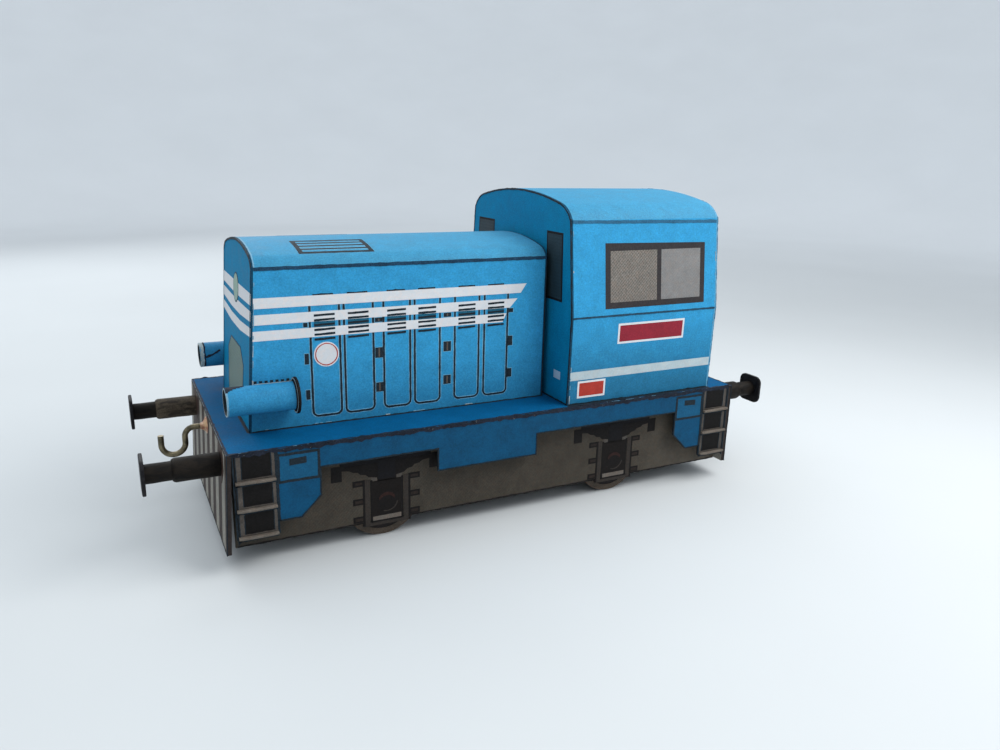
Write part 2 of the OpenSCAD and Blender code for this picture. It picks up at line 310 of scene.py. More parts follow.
def roof_surface(half, spring, crown, eave_r):
    """Surface of (along X, distance round from the crown) on a roof's outside."""
    r, centre, join, reach, drop = roof_arc(half, spring, crown, eave_r)

    def surface(u, v, h):
        turn = abs(v) / r
        if turn <= join:
            y = (r + h) * math.sin(turn)
            z = centre + (r + h) * math.cos(turn)
        else:
            turn = join + (abs(v) - r * join) / eave_r
            y = reach + (eave_r + h) * math.sin(turn)
            z = drop + (eave_r + h) * math.cos(turn)
        return (u, math.copysign(y, v), DECK + z)
    return surface


def half_round(half, spring, crown, eave_r):
    """Distance round a roof's outside from its crown to a spring line."""
    r, _, join, _, _ = roof_arc(half, spring, crown, eave_r)
    return r * join + eave_r * (EAVE_TURN - join)


def roof_outline(roof, inside, steps=40):
    """Outline of a roof in (y, v), from the right spring line over the crown to the left."""
    surface = roof_surface(*roof)
    whole = half_round(*roof)
    found = [surface(0, whole * i / steps, -inside) for i in range(-steps, steps + 1)]
    return [(y, z - DECK) for _, y, z in found]


def tube_surface(y, z, r, side):
    """Surface of (along X, distance round from the top) on a tube along X."""
    def surface(u, v, h):
        turn = v / r
        return (u, side * (y + (r + h) * math.sin(turn)), z + (r + h) * math.cos(turn))
    return surface


# ---------------------------------------------------------------- prints
# A print is a thin closed plate on a panel. Its level says how many layers up its top is, and
# each plate reaches down into the card.

LAYER = 0.012
SINK = 0.06
ROUGH_STEP = 0.25
MITRE = 1.6
THINNEST = 0.02
prints = {}


def along(points, step, closed=False):
    """The same path with points no further than step apart."""
    found = []
    for (u0, v0), (u1, v1) in zip(points, points[1:] + points[:1] * closed):
        n = max(1, math.ceil(math.hypot(u1 - u0, v1 - v0) / step))
        found += [(u0 + (u1 - u0) * i / n, v0 + (v1 - v0) * i / n) for i in range(n)]
    return found if closed else found + [points[-1]]


class Panel:
    """One card's printed side: its name in the pieces' names, and the surface it lies on."""

    def __init__(self, name, surface):
        self.name = name
        self.surface = surface

    def ink(self, colour):
        return prints.setdefault((self.name, colour), Shell())

    def on(self, surface):
        """The same panel's inks on another surface beside it."""
        return Panel(self.name, surface)

    def patch(self, colour, outline, level):
        """Flat plate inside an outline, in one ink, on a layer."""
        if len(outline) > 2:
            self.ink(colour).loft([[self.surface(u, v, h) for u, v in outline]
                                   for h in (LAYER * level, -SINK)])

    def line(self, colour, points, width, level, rough=0, seed=0, closed=False, step=0):
        """Thin strip along a path, which has corners no further than step apart where step is
        given. rough is how far its edges wander, in millimetres, and seed says in which way."""
        if rough and not step:
            step = ROUGH_STEP
        if step:
            points = along(points, step, closed)
        n = len(points)
        rows = []
        for i, (u, v) in enumerate(points):
            before = points[i - 1] if i or closed else None
            after = points[(i + 1) % n] if i < n - 1 or closed else None
            du = dv = 0
            for a, b in ((before, (u, v)), ((u, v), after)):
                if a is None or b is None:
                    continue
                length = math.hypot(b[0] - a[0], b[1] - a[1]) or 1
                du += (b[0] - a[0]) / length
                dv += (b[1] - a[1]) / length
            size = math.hypot(du, dv) or 1
            nu, nv = -dv / size, du / size
            parts = 2 if before and after else 1
            out = back = width / 2 * min(parts / size, MITRE)
            if rough:
                fine, coarse = (u * 4.1, v * 4.1 + seed), (u * 1.3 + seed, v * 1.3)
                out += rough * noise.noise((*coarse, 3.7 + seed))
                out = max(out + rough * 0.6 * noise.noise((*fine, 9.1)), THINNEST)
                back += rough * noise.noise((*coarse, 17.3 + seed))
                back = max(back + rough * 0.6 * noise.noise((*fine, 29.1)), THINNEST)
            a, b = (u + nu * out, v + nv * out), (u - nu * back, v - nv * back)
            top = LAYER * level
            section = ((a, top), (b, top), (b, -SINK), (a, -SINK))
            rows.append([self.surface(*at, h) for at, h in section])
        self.ink(colour).loft(rows, closed=closed)

    def framed(self, corners, border, edge, fill):
        """A filled rectangle with a border."""
        (u0, v0, u1, v1), i = corners, border
        self.patch(edge, rectangle(u0, v0, u1, v1), 1)
        self.patch(fill, rectangle(u0 - i, v0 + i, u1 + i, v1 - i), 2)

    def worn(self, start, end, width, level, seed, share=0.6):
        """A pale cut edge that shows through the ink in short broken pieces."""
        (u0, v0), (u1, v1) = start, end
        length = math.hypot(u1 - u0, v1 - v0)
        pick = random.Random(seed)
        t = 0.1
        while t < length - 0.2:
            piece = 0.25 + 1.3 * pick.random() ** 2
            if pick.random() < share:
                ends = [t / length, min(t + piece, length) / length]
                colour = "core" if pick.random() < 0.5 else "soft"
                self.line(colour, [(u0 + (u1 - u0) * a, v0 + (v1 - v0) * a) for a in ends],
                          width * (0.6 + 0.6 * pick.random()), level, 0.03, t)
            t += piece + 0.1 + 0.3 * pick.random()


# ---------------------------------------------------------------- the hood's prints

STRIPES = ((15.24, 14.08), (13.4, 12.26), (11.58, 10.48))
STRIPE_TIPS = (-3.9, -2.65, -1.15)
STRIPE_POINTS = (0.8, 1.05, 0.55)
DOORS = ((20.4, 23.78), (16.4, 19.86), (11.82, 15.13), (7.96, 11.24), (2.7, 5.98), (-1.3, 1.96))
DOOR_FOOT = (1.05, 1.05, 1.1, 1.1, 1.1, 1.1)
DOOR_CORNER = 0.62
DOOR_LINE = 0.25
FRINGE = 0.15
SLATS = 6
SLAT_TOP = 12.98
SLAT_PITCH = 0.555
SLAT_LINE = 0.25
HINGES = (24.3, 15.72, 6.98, -1.78)
HINGE_HALVES = (0.24, 0.45, 0.5, 0.3)
HINGE_ROWS = ((7.35, 8.6), (3.15, 4.3), (11.68, 12.18))
DISC = (22.02, 8.36, 1.46)


def hood_front_edge(v):
    """Where the hood side's front edge is at height v."""
    return HOOD_FOOT_X - CARD - HOOD_SLOPE * v


def print_hood_side(name, side):
    p = Panel("hood_" + name, beside(HOOD_Y, side))
    for (top, foot), tip, point in zip(STRIPES, STRIPE_TIPS, STRIPE_POINTS):
        outline = [(tip, top), (hood_front_edge(top), top), (hood_front_edge(foot), foot),
                   (tip + point, foot)]
        p.patch("white", outline, 3)
    for (rear, front), foot in zip(DOORS, DOOR_FOOT):
        top = STRIPES[0][0] - 0.1
        lintel = [(front - 0.43, 15.3), (rear + 0.62, 15.31)]
        path = [(front, top)]
        path += arc(front - DOOR_CORNER, foot + DOOR_CORNER, DOOR_CORNER, 0, -90, 7)
        path += arc(rear + DOOR_CORNER, foot + DOOR_CORNER, DOOR_CORNER, -90, -180, 7)
        path.append((rear, top))
        p.line("cream", path, DOOR_LINE + FRINGE, 1, 0.03, front)
        p.line("black", path, DOOR_LINE, 2, 0.035, rear)
        p.line("black", lintel, 0.2, 2, 0.05, rear)
        slat_front = front - 0.46
        slat_rear = rear + 0.52
        p.patch("teal", rectangle(slat_rear, STRIPES[2][0], slat_front, STRIPES[1][1]), 2)
        for i in range(SLATS):
            v = SLAT_TOP - i * SLAT_PITCH
            slat = [(slat_front, v - 0.03), (slat_rear, v + 0.02)]
            p.line("black", slat, SLAT_LINE, 4, 0.03, v + rear)
    for u, half in zip(HINGES, HINGE_HALVES):
        for foot, top in HINGE_ROWS:
            fringe = rectangle(u - half - 0.07, foot - 0.06, u + half + 0.07, top + 0.06)
            p.patch("cream", fringe, 1)
            p.patch("black", rectangle(u - half, foot, u + half, top), 2)
            if half > 0.4:
                p.patch("brown", rectangle(u - 0.09, foot + 0.1, u + 0.09, top - 0.1), 3)
    u, v, r = DISC
    p.patch("white", circle(u, v, r), 3)
    p.line("red", circle(u, v, r - 0.19), 0.12, 4, 0.03, closed=True)
    # Cut card edges, and dark lines along the panel's top, foot and joints
    rear = HOOD_REAR_X
    v = HOOD_V - 0.18
    p.line("spring_ink", [(hood_front_edge(HOOD_V), v), (rear, v)], 0.4, 4, 0.05, 2)
    top = (hood_front_edge(HOOD_V) - 0.05, HOOD_V - 0.35)
    p.worn((hood_front_edge(0.2) - 0.05, 0.2), top, 0.1, 5, 5)
    p.worn((hood_front_edge(0.1) - 0.1, 0.16), (rear + 2, 0.15), 0.07, 5, 6, 0.25)
    p.line("black", [(hood_front_edge(0) - 0.05, 0.05), (rear, 0.05)], 0.12, 4, 0.05, 7)
    p.line("black", [(rear + 0.06, 0.1), (rear + 0.06, HOOD_V)], 0.12, 4, 0.04, 9)
    foot = [(HOOD_FOOT_X + 0.1, HOOD_Y + 0.14), (rear, HOOD_Y + 0.13)]
    p.on(deck_along(side)).line("black", foot, 0.24, 3, 0.06, 8)


# Each pale band's top and foot at the edges, and then between the bends
FRONT_BANDS = ((15.78, 14.5, 15.75, 14.35), (13.85, 12.72, 13.72, 12.34), (12.0, 11.02, 11.6, 10.5))
FRONT_BEND = 3
FRONT_LAMP = (0, 15.05)
FRONT_LAMP_R = 1.6
FRONT_RIM_R = 1.7
SHIELD = [(-5.4, 6.8), (-3.3, 8.5), (3.3, 8.5), (5.4, 6.8), (5.2, 4.6), (4.9, 0.7), (-4.9, 0.7),
          (-5.2, 4.6)]


def print_hood_front():
    p = Panel("hood_front", across(lambda v: HOOD_FOOT_X - HOOD_SLOPE * v))
    edge, bend = HOOD_Y, FRONT_BEND
    for top, foot, mid_top, mid_foot in FRONT_BANDS:
        outline = [(-edge, top), (-bend, mid_top), (bend, mid_top), (edge, top),
                   (edge, foot), (bend, mid_foot), (-bend, mid_foot), (-edge, foot)]
        p.patch("white", outline, 2)
    p.patch("front_lens", circle(*FRONT_LAMP, FRONT_LAMP_R), 4)
    p.line("soft_ink", circle(*FRONT_LAMP, FRONT_RIM_R), 0.2, 3, 0.03, closed=True)
    p.patch("grille", SHIELD, 2)
    p.line("soft_ink", SHIELD, 0.16, 3, 0.04, closed=True)
    for side in (1, -1):
        u = side * (edge - 0.1)
        p.line("soft_ink", [(u, 0.1), (u, HOOD_V)], 0.14, 5, 0.04, side)
    p.line("black", [(-edge, 0.1), (edge, 0.1)], 0.25, 5, 0.08, 4)
    p.line("black", roof_outline(HOOD_ROOF, 0.12), 0.26, 5, 0.06, 14)
    p.on(deck_across(HOOD_FOOT_X)).line("black", [(-edge, 0.15), (edge, 0.15)], 0.25, 3, 0.06, 16)


# A louvre's rear and front, its edges' distances round the roof from the crown, and its slats
LOUVRE_X = (15.88, 24.05)
LOUVRE_V = (3.4, 8.0)
LOUVRE_SLATS = 3
LOUVRE_FRAME = 0.54
LOUVRE_LINE = 0.46


def print_hood_roof():
    p = Panel("hood_roof", roof_surface(*HOOD_ROOF))
    rear, front = LOUVRE_X
    for side in (1, -1):
        near, far = side * LOUVRE_V[1], side * LOUVRE_V[0]
        frame_path = [(front, far), (front, near), (rear, near), (rear, far)]
        p.line("cream", frame_path, LOUVRE_FRAME + 0.08, 1, closed=True, step=0.5)
        p.line("black", frame_path, LOUVRE_FRAME, 2, 0.05, closed=True, step=0.4)
        for i in range(1, LOUVRE_SLATS + 1):
            v = far + (near - far) * i / (LOUVRE_SLATS + 1)
            slat = [(front - 0.2, v), (rear + 0.2, v)]
            p.line("cream", slat, LOUVRE_LINE + 0.28, 1, step=1)
            p.line("black", slat, LOUVRE_LINE, 2, 0.02, i)
    # The roof card's front edge shows its core
    whole = half_round(*HOOD_ROOF)
    front = HOOD_FOOT_X - CARD - HOOD_SLOPE * HOOD_V
    turns = [whole * i / 20 for i in range(-20, 21)]
    edge = [(front - 0.06 - 0.13 * math.cos(v / whole * 1.57), v) for v in turns]
    p.line("soft", edge, 0.16, 2, 0.05, step=0.5)


# ---------------------------------------------------------------- the cab's prints

WINDOW = (-12.5, 12.3, -28.5, 20.32)
WINDOW_BAR = 0.78
MULLION = -20.9
PLATE = (-14.65, 7.6, -25.4, 10.3)
CAB_STRIPE = (3.28, 4.42)
LABEL = (-8.95, 0.82, -13.2, 3.1)


def print_cab_side(name, side):
    p = Panel("cab_" + name, cab_side(side))
    u0, v0, u1, v1 = WINDOW
    bar = WINDOW_BAR
    p.patch("window_edge", [(u0, v0), (u1, v0), (u1, v1 - 0.04), (u0, v1 + 0.22)], 1)
    p.patch("pane", rectangle(u0 - bar, v0 + bar, MULLION + 0.35, v1 - bar), 2)
    p.patch("pane_plain", rectangle(MULLION - 0.35, v0 + bar, u1 + bar, v1 - bar), 2)
    p.framed(PLATE, 0.28, "white", "dark_red")
    front = CAB_FRONT_X - CARD
    rear = CAB_REAR_X + CARD
    p.patch("cab_white", rectangle(front, CAB_STRIPE[0], rear, CAB_STRIPE[1]), 1)
    p.framed(LABEL, 0.26, "white", "red")
    p.line("soft_ink", [(front, CAB_WAIST_V), (rear, CAB_WAIST_V)], 0.24, 3, 0.04, 1)
    p.line("blue_ink", [(front, CAB_TOP_V - 0.21), (rear, CAB_TOP_V - 0.42)], 0.4, 3, 0.05, 2)
    for foot, top in ((0.1, CAB_WAIST_V), (CAB_WAIST_V, CAB_TOP_V - 0.1)):
        p.worn((front - 0.05, foot), (front - 0.05, top), 0.08, 4, foot, 0.3)
        p.worn((rear + 0.05, foot), (rear + 0.05, top), 0.06, 4, top, 0.15)
    p.line("black", [(front, 0.08), (rear, 0.08)], 0.2, 4, 0.08, 4)
    foot = [(front + 0.3, CAB_FOOT_Y + 0.3), (rear - 0.3, CAB_FOOT_Y + 0.2)]
    p.on(deck_along(side)).line("black", foot, 0.5, 3, 0.16, 5)


# Each window's inner and outer edge, top and foot
END_WINDOWS = ((8.05, 12.1, 21.7, 13.05), (-7.0, -12.2, 21.9, 13.2))
END_WINDOW_LEAN = 0.4
END_LAMP = (11.2, 2.95, 12.85, 4.02)


def print_cab_end(p, ink_name):
    """Windows and edging shared by the cab's front and rear."""
    for inner, outer, top, foot in END_WINDOWS:
        lean = math.copysign(END_WINDOW_LEAN, inner)
        outline = [(inner, top), (outer, top), (outer + lean, foot), (inner + lean, foot)]
        p.patch("ink_brown", outline, 1)
        a, b = math.copysign(0.28, inner), 0.3
        pane = [(inner + a, top - b), (outer - a, top - b), (outer + lean - a, foot + b),
                (inner + lean + a, foot + b)]
        p.patch("dark_pane", pane, 2)
    if p.name == "cab_front":
        for side in (1, -1):
            p.patch("dull_white", [(side * a, b) for a, b in rectangle(*END_LAMP)], 1)
    wall = [(CAB_FOOT_Y, 0), (CAB_WAIST_Y, CAB_WAIST_V)]
    shape = [(-a, b) for a, b in wall] + roof_outline(CAB_ROOF, 0) + wall[::-1]
    shape = [(a * 0.9925, b - 0.12 if b > CAB_TOP_V else b) for a, b in shape]
    p.line(ink_name, shape, 0.22, 3, 0.06, 8)
    p.line(ink_name, [(-CAB_FOOT_Y, 0.1), (CAB_FOOT_Y, 0.1)], 0.24, 3, 0.06, 9)


REAR_LAMP = (9.2, 7.2)
REAR_LAMP_R = 1.3
REAR_WINDOW = (-5.4, 13.2, 5.4, 20.6)
REAR_PANES = (-4.8, 0.3)
REAR_PANE_W = 4.5


def print_cab_rear():
    """The rear is a guess: the front's windows, the side's stripe and two lamps."""
    p = Panel("cab_rear", across(lambda v: CAB_REAR_X, -1))
    half = CAB_FOOT_Y - 0.15
    p.patch("cab_white", rectangle(-half, CAB_STRIPE[0], half, CAB_STRIPE[1]), 1)
    u, v = REAR_LAMP
    for side in (-1, 1):
        p.patch("black", circle(side * u, v, REAR_LAMP_R), 2)
        p.patch("lens", circle(side * u, v, REAR_LAMP_R - 0.22), 3)
    p.patch("window_edge", rounded(*REAR_WINDOW, 0.5), 1)
    foot, top = REAR_WINDOW[1] + 0.6, REAR_WINDOW[3] - 0.6
    for u in REAR_PANES:
        p.patch("dark_pane", rounded(u, foot, u + REAR_PANE_W, top, 0.3), 2)
    half = CAB_WAIST_Y - 0.2
    p.line("black", [(-half, CAB_WAIST_V), (half, CAB_WAIST_V)], 0.2, 2, 0.03)


# ---------------------------------------------------------------- skirts and side frames

def face_outline(node, axis, sign):
    """Outline of a node's flat face that looks along sign times axis, in millimetres."""
    bm = bmesh.new()
    bm.from_mesh(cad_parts[node].data)
    bmesh.ops.remove_doubles(bm, verts=bm.verts, dist=1e-6)
    chosen = [f for f in bm.faces if f.normal[axis] * sign > 0.98]
    edge = max(sign * f.calc_center_median()[axis] for f in chosen)
    chosen = {f for f in chosen if sign * f.calc_center_median()[axis] > edge - 2e-5}
    following = {}
    for face in chosen:
        for loop in face.loops:
            if not any(other in chosen for other in loop.edge.link_faces if other is not face):
                following[loop.vert.index] = (loop.link_loop_next.vert.index, loop.vert.co.copy())
    here = min(following)
    found = []
    for _ in following:
        here, co = following[here]
        found.append(co / MM)
    bm.free()
    return found


def inset(outline, amount):
    """A closed plane outline moved to its left by amount."""
    n = len(outline)
    found = []
    for i in range(n):
        a, p, b = outline[i - 1], outline[i], outline[(i + 1) % n]
        d0 = Vector((p[0] - a[0], p[1] - a[1])).normalized()
        d1 = Vector((b[0] - p[0], b[1] - p[1])).normalized()
        n0 = Vector((-d0.y, d0.x))
        n1 = Vector((-d1.y, d1.x))
        both = n0 + n1
        both /= max(both.dot(n0), 0.2)
        found.append((p[0] + both.x * amount, p[1] + both.y * amount))
    return found


def area(outline):
    pairs = zip(outline, outline[1:] + outline[:1])
    return sum(a[0] * b[1] - b[0] * a[1] for a, b in pairs) / 2


BOX = (29.4, 24.85)
BOX_PANEL = (0.78, 3.9)
TOOL_SLOT = ((28.07, -2.12), (28.07, -1.36), (26.2, -1.28), (26.2, -2.04))
LADDER = (29.42, 34.0)
LADDER_FOOT = -9.85
RUNG_TOPS = (-3.1, -6.3, -9.5)
RUNG_T = 0.35
RUNG_CUTS = 8


def print_skirt(name, side):
    p = Panel("skirt_" + name, beside(DECK_Y, side))
    outline = [(co.x, co.z - DECK) for co in face_outline("skirt_" + name, 1, side)]
    if area(outline) < 0:
        outline.reverse()
    p.line("black", inset(outline, 0.07), 0.16, 4, 0.05, 3, closed=True)
    for end in (1, -1):
        outer, inner = BOX[0] * end, BOX[1] * end
        top, foot = -BOX_PANEL[0], -BOX_PANEL[1]
        p.patch("sky", rectangle(outer, foot, inner, top), 1)
        rim = rectangle(outer - 0.14 * end, foot, inner, top)
        p.line("black", rim, 0.3, 3, 0.04, end, closed=True)
        p.patch("black", [(end * u, v) for u, v in TOOL_SLOT], 2)
        p.line("black", [(outer, -0.1), (outer, -8.4)], 0.26, 4, 0.05, 5)
        print_ladder(p, end)


def print_ladder(p, end):
    (inner, outer), foot = LADDER, LADDER_FOOT
    p.patch("cell", [(end * u, v) for u, v in rectangle(inner, foot, outer, -0.1)], 1)
    for u, width in ((inner + 0.36, 0.42), (outer - 0.62, 0.56)):
        p.line("post", [(end * u, -0.15), (end * u, foot + 0.05)], width, 2, 0.06, u)
        for edge in (-1, 1):
            at = end * (u + edge * width / 2)
            p.line("black", [(at, -0.15), (at, foot)], 0.1, 3, 0.04, u + edge)
    for top in RUNG_TOPS:
        v = top - RUNG_T
        corner = [(outer - 0.85, v + 0.1), (outer - 0.1, v - 0.62), (outer - 0.1, v + 0.1)]
        p.patch("black", [(end * a, b) for a, b in corner], 4)
        shadow = [(end * (inner + 0.1), v - 0.16), (end * (outer - 0.2), v - 0.16)]
        p.line("black", shadow, 0.24, 4, 0.05, v)
        shine = [(end * (inner + 0.2), top + 0.1), (end * (outer - 0.4), top + 0.1)]
        p.line("post", shine, 0.16, 4, 0.04, top)


LEAF = ((5.4, -4.1), (5.4, -4.5), (4.5, -4.62), (4.1, -4.9), (3.5, -4.98), (3.2, -5.3), (2.6, -5.4),
        (2.2, -5.75), (1.2, -5.95), (1.15, -6.45))
AXLE_V = -9.1
GUARD_BOLTS = ((-6.78, -6.05), (-9.1, -8.32), (-11.38, -10.6))
# Each upright of the guards: its colour, place, top, foot, width and layer
GUARD_LINES = (("ink_brown", 1.9, -6.2, -11.5, 0.26, 4), ("mid_grey", 2.42, -6.1, -11.9, 0.6, 3),
               ("ink_brown", 2.82, -6.05, -11.95, 0.24, 4))


def print_gear(p, centre):
    """Leaf spring, axle box, guards and their bolts at one axle."""
    def at(points):
        return [(centre + u, v) for u, v in points]

    def both(colour, points, level):
        p.patch(colour, at(points), level)
        p.patch(colour, at([(-u, v) for u, v in points]), level)

    p.patch("slate", at(rectangle(-5.6, -4.1, 5.6, -3.3)), 1)
    leaf = list(LEAF) + [(-u, v) for u, v in reversed(LEAF)]
    p.patch("ink_brown", at(leaf), 3)
    p.patch("slate", at(rectangle(-1.08, -6.2, 1.08, -3.8)), 4)
    both("ink_brown", rectangle(5.4, -5.78, 6.65, -3.9), 3)
    both("post", rectangle(1.15, -6.35, 1.9, -5.75), 2)
    p.patch("soot", at(rectangle(-1.9, -10.9, 1.9, -6.35)), 3)
    for colour, reach, top, foot, width, level in GUARD_LINES:
        for u in (-reach, reach):
            p.line(colour, at([(u, top), (u, foot)]), width, level, 0.03)
    for foot, top in GUARD_BOLTS:
        both("ink_brown", rectangle(2.8, foot, 4.15, top), 3)
        both("umber", rectangle(3.0, foot + 0.2, 3.9, top - 0.22), 4)
    p.patch("light", at(rectangle(-1.85, -11.45, 1.85, -10.9)), 3)
    p.line("ink_brown", at([(-2, -11.55), (2, -11.55)]), 0.2, 4, 0.03)
    p.patch("ink_brown", at(circle(0, AXLE_V, 1.25, 32)), 4)
    crescent = arc(0, AXLE_V, 1.12, 25, 155, 12) + arc(0, AXLE_V - 0.35, 1.05, 150, 30, 12)
    p.patch("rust", at(crescent), 5)
    p.line("mid_grey", at(arc(0, AXLE_V, 1.3, 190, 290, 12)), 0.14, 5, 0.02)


GUARD_FOOT_REACH = 2.94
GUARD_FOOT_DROP = 0.5


def print_side_frame(name, side):
    p = Panel("frame_" + name, beside(FRAME_Y, side))
    for node in ("front_axle", "rear_axle"):
        centre = middle(node, "X") - 0.15
        print_gear(p, centre)
        tab = Shell()
        foot, top = FRAME_V - GUARD_FOOT_DROP, FRAME_V + 0.05
        rear, front = centre - GUARD_FOOT_REACH, centre + GUARD_FOOT_REACH
        outline = [(rear, top), (rear, foot), (front, foot), (front, top)]
        tab.loft([[(u, side * y, DECK + v) for u, v in outline]
                  for y in (FRAME_Y, FRAME_Y - CARD + 0.01)])
        make("guard_foot_%s_%s" % (name, node.split("_")[0]), tab, looks["mid_grey"],
             slot="frame_card", smooth=0)
    path = [(-DECK_X + 0.7, FRAME_V + 0.08), (DECK_X - 0.7, FRAME_V + 0.08)]
    p.line("ink_brown", path, 0.16, 2, 0.06, side)


# ---------------------------------------------------------------- headstocks and deck

BAND_START = 15.4
BAND_PITCH = 4.75
BAND = 2.3
BAND_TILT = 0.05
BLOT_R = 2.3
BLOT_STEPS = 28


def print_headstock(p):
    """Dark upright bands, an inked rim, and glue stains round the buffers."""
    half = DECK_Y - 0.05
    top, foot = -0.25, HEADSTOCK_V + 0.12
    band_u = BAND_START
    while band_u > -half - BAND:
        shape = [(band_u - BAND / 2 - BAND_TILT * v, v) for v in (foot, top)]
        shape += [(u + BAND, v) for u, v in reversed(shape)]
        p.patch("band", clip(shape, -half, foot, half, top), 1)
        band_u -= BAND_PITCH
    p.line("black", rectangle(-half, foot, half, top), 0.22, 2, 0.06, 6, closed=True)
    for side in (1, -1):
        blot = []
        for turn in whole_turn(BLOT_STEPS):
            r = BLOT_R + 0.9 * noise.noise((math.cos(turn) * 1.7, math.sin(turn) * 1.7, 4 + side))
            blot.append((side * BUFFER_Y + r * math.cos(turn), BUFFER_V + r * math.sin(turn)))
        p.patch("stain", clip(blot, -half, foot, half, top), 3)


HEAD_W = 4.1
HEAD_H = 4.0
HEAD_T = 0.4
HEAD_CORNER = 1.0
SHANK_R = 1.08
BUFFER_Y = high("buffer_heads_front", "Y") - HEAD_W / 2
BUFFER_V = middle("buffer_heads_front", "Z") - DECK
HEAD_X = high("buffer_heads_front", "X")
BARREL_END_X = high("buffer_barrels_front", "X")
BARREL_R = radius("buffer_barrels_front")


def deck_sheet():
    """Printed paper over the deck, its headstocks and its skirts' top edges."""
    shell = Shell()
    x, y = DECK_X - 0.01, DECK_Y - 0.01
    shell.loft([[(a, b, DECK + h) for a, b in rectangle(-x, -y, x, y)] for h in (0.02, -0.01)])
    make("deck_sheet", shell, looks["deck_blue"], slot="deck_card", smooth=0)


def print_deck():
    for side in (1, -1):
        p = Panel("deck", deck_along(side))
        y = DECK_Y - 0.16
        p.line("marker", [(DECK_X - 0.1, y), (-DECK_X + 0.1, y)], 0.34, 3, 0.2, 3 + side)
        x = DECK_X - 0.8
        while x > -DECK_X + 1:
            length = 0.2 + 1.1 * random.random()
            if noise.noise((x * 0.21, side * 3.1, 1.7)) > 0.1:
                p.line("soft", [(x, y + 0.05), (x - length, y + 0.07)], 0.07, 4, 0.03, x)
            x -= length + 0.3 + 1.6 * random.random()
        edge = [(DECK_X - 0.6, -0.2), (-DECK_X + 0.6, -0.2)]
        p.on(beside(DECK_Y, side)).line("marker", edge, 0.38, 5, 0.24, 9 + side)
    for x in (DECK_X - 0.12, -DECK_X + 0.12):
        p.on(deck_along(1)).line("marker", [(x, -DECK_Y + 0.1), (x, DECK_Y - 0.1)], 0.2, 3, 0.1, x)


# ---------------------------------------------------------------- materials

def rgb(r, g, b):
    """Linear colour of an 8-bit display colour."""
    def linear(c):
        c /= 255
        return c / 12.92 if c <= 0.04045 else ((c + 0.055) / 1.055) ** 2.4
    return (linear(r), linear(g), linear(b), 1)


NOISE_RANGE = (0.3, 0.7)


class Nodes:
    """Small helper for building one material's node tree."""

    def __init__(self, name):
        self.material = bpy.data.materials.new(name)
        self.material.use_nodes = True
        self.tree = self.material.node_tree
        self.tree.nodes.clear()
        out = self.node("OutputMaterial")
        self.shader = self.node("BsdfPrincipled")
        self.put(out.inputs[0], self.shader.outputs[0])
        self.coords = self.node("TexCoord")

    def node(self, kind):
        return self.tree.nodes.new("ShaderNode" + kind)

    def put(self, socket, value):
        """Set a socket to a value, or feed it from another socket."""
        if isinstance(value, bpy.types.NodeSocket):
            self.tree.links.new(value, socket)
        else:
            socket.default_value = value

    def noise(self, per_mm, detail=2, rough=0.5, stretch=None, warp=0):
        node = self.node("TexNoise")
        vector = self.coords.outputs["Object"]
        if stretch:
            mapping = self.node("Mapping")
            mapping.inputs["Scale"].default_value = stretch
            self.put(mapping.inputs["Vector"], vector)
            vector = mapping.outputs[0]
        self.put(node.inputs["Vector"], vector)
        node.inputs["Scale"].default_value = per_mm / MM
        node.inputs["Detail"].default_value = detail
        node.inputs["Roughness"].default_value = rough
        node.inputs["Distortion"].default_value = warp
        return node.outputs["Fac"]

    def math(self, operation, a, b=0.0):
        node = self.node("Math")
        node.operation = operation
        self.put(node.inputs[0], a)
        self.put(node.inputs[1], b)
        return node.outputs[0]

    def spread(self, value, low_in, high_in, low_out, high_out, smooth=False):
        node = self.node("MapRange")
        if smooth:
            node.interpolation_type = "SMOOTHSTEP"
        self.put(node.inputs[0], value)
        for i, v in enumerate((low_in, high_in, low_out, high_out)):
            node.inputs[i + 1].default_value = v
        return node.outputs[0]

    def mix(self, share, a, b, blend="MIX"):
        node = self.node("Mix")
        node.data_type = "RGBA"
        node.blend_type = blend
        self.put(node.inputs[0], share)
        self.put(node.inputs[6], a)
        self.put(node.inputs[7], b)
        return node.outputs[2]

    def vary(self, value, least, most):
        """least to most over the usual range of a noise."""
        return self.spread(value, *NOISE_RANGE, least, most)

    def tint(self, colour, value):
        """colour times a grey value."""
        return self.mix(1, colour, value, "MULTIPLY")

    def times(self, shade, value):
        return self.math("MULTIPLY", shade, value)

    def axis(self, name, output="Object"):
        node = self.node("SeparateXYZ")
        self.put(node.inputs[0], self.coords.outputs[output])
        return node.outputs[name]

    def bump(self, height, depth_mm, strength=1.0, normal=None):
        node = self.node("Bump")
        node.inputs["Strength"].default_value = strength
        node.inputs["Distance"].default_value = depth_mm * MM
        self.put(node.inputs["Height"], height)
        if normal is not None:
            self.put(node.inputs["Normal"], normal)
        return node.outputs[0]

    def finish(self, colour, rough, normal, **plain):
        self.put(self.shader.inputs["Base Color"], colour)
        self.put(self.shader.inputs["Roughness"], rough)
        if normal is not None:
            self.put(self.shader.inputs["Normal"], normal)
        for key, value in plain.items():
            self.shader.inputs[key.replace("_", " ")].default_value = value
        return self.material


WARMER = (1.14, 1.0, 0.93, 1)
HATCH_ROWS = 0.42
HATCH_LINES = 0.5
# How much paler the card's lit end is: a painted light
LIT_END_PALER = 1.9


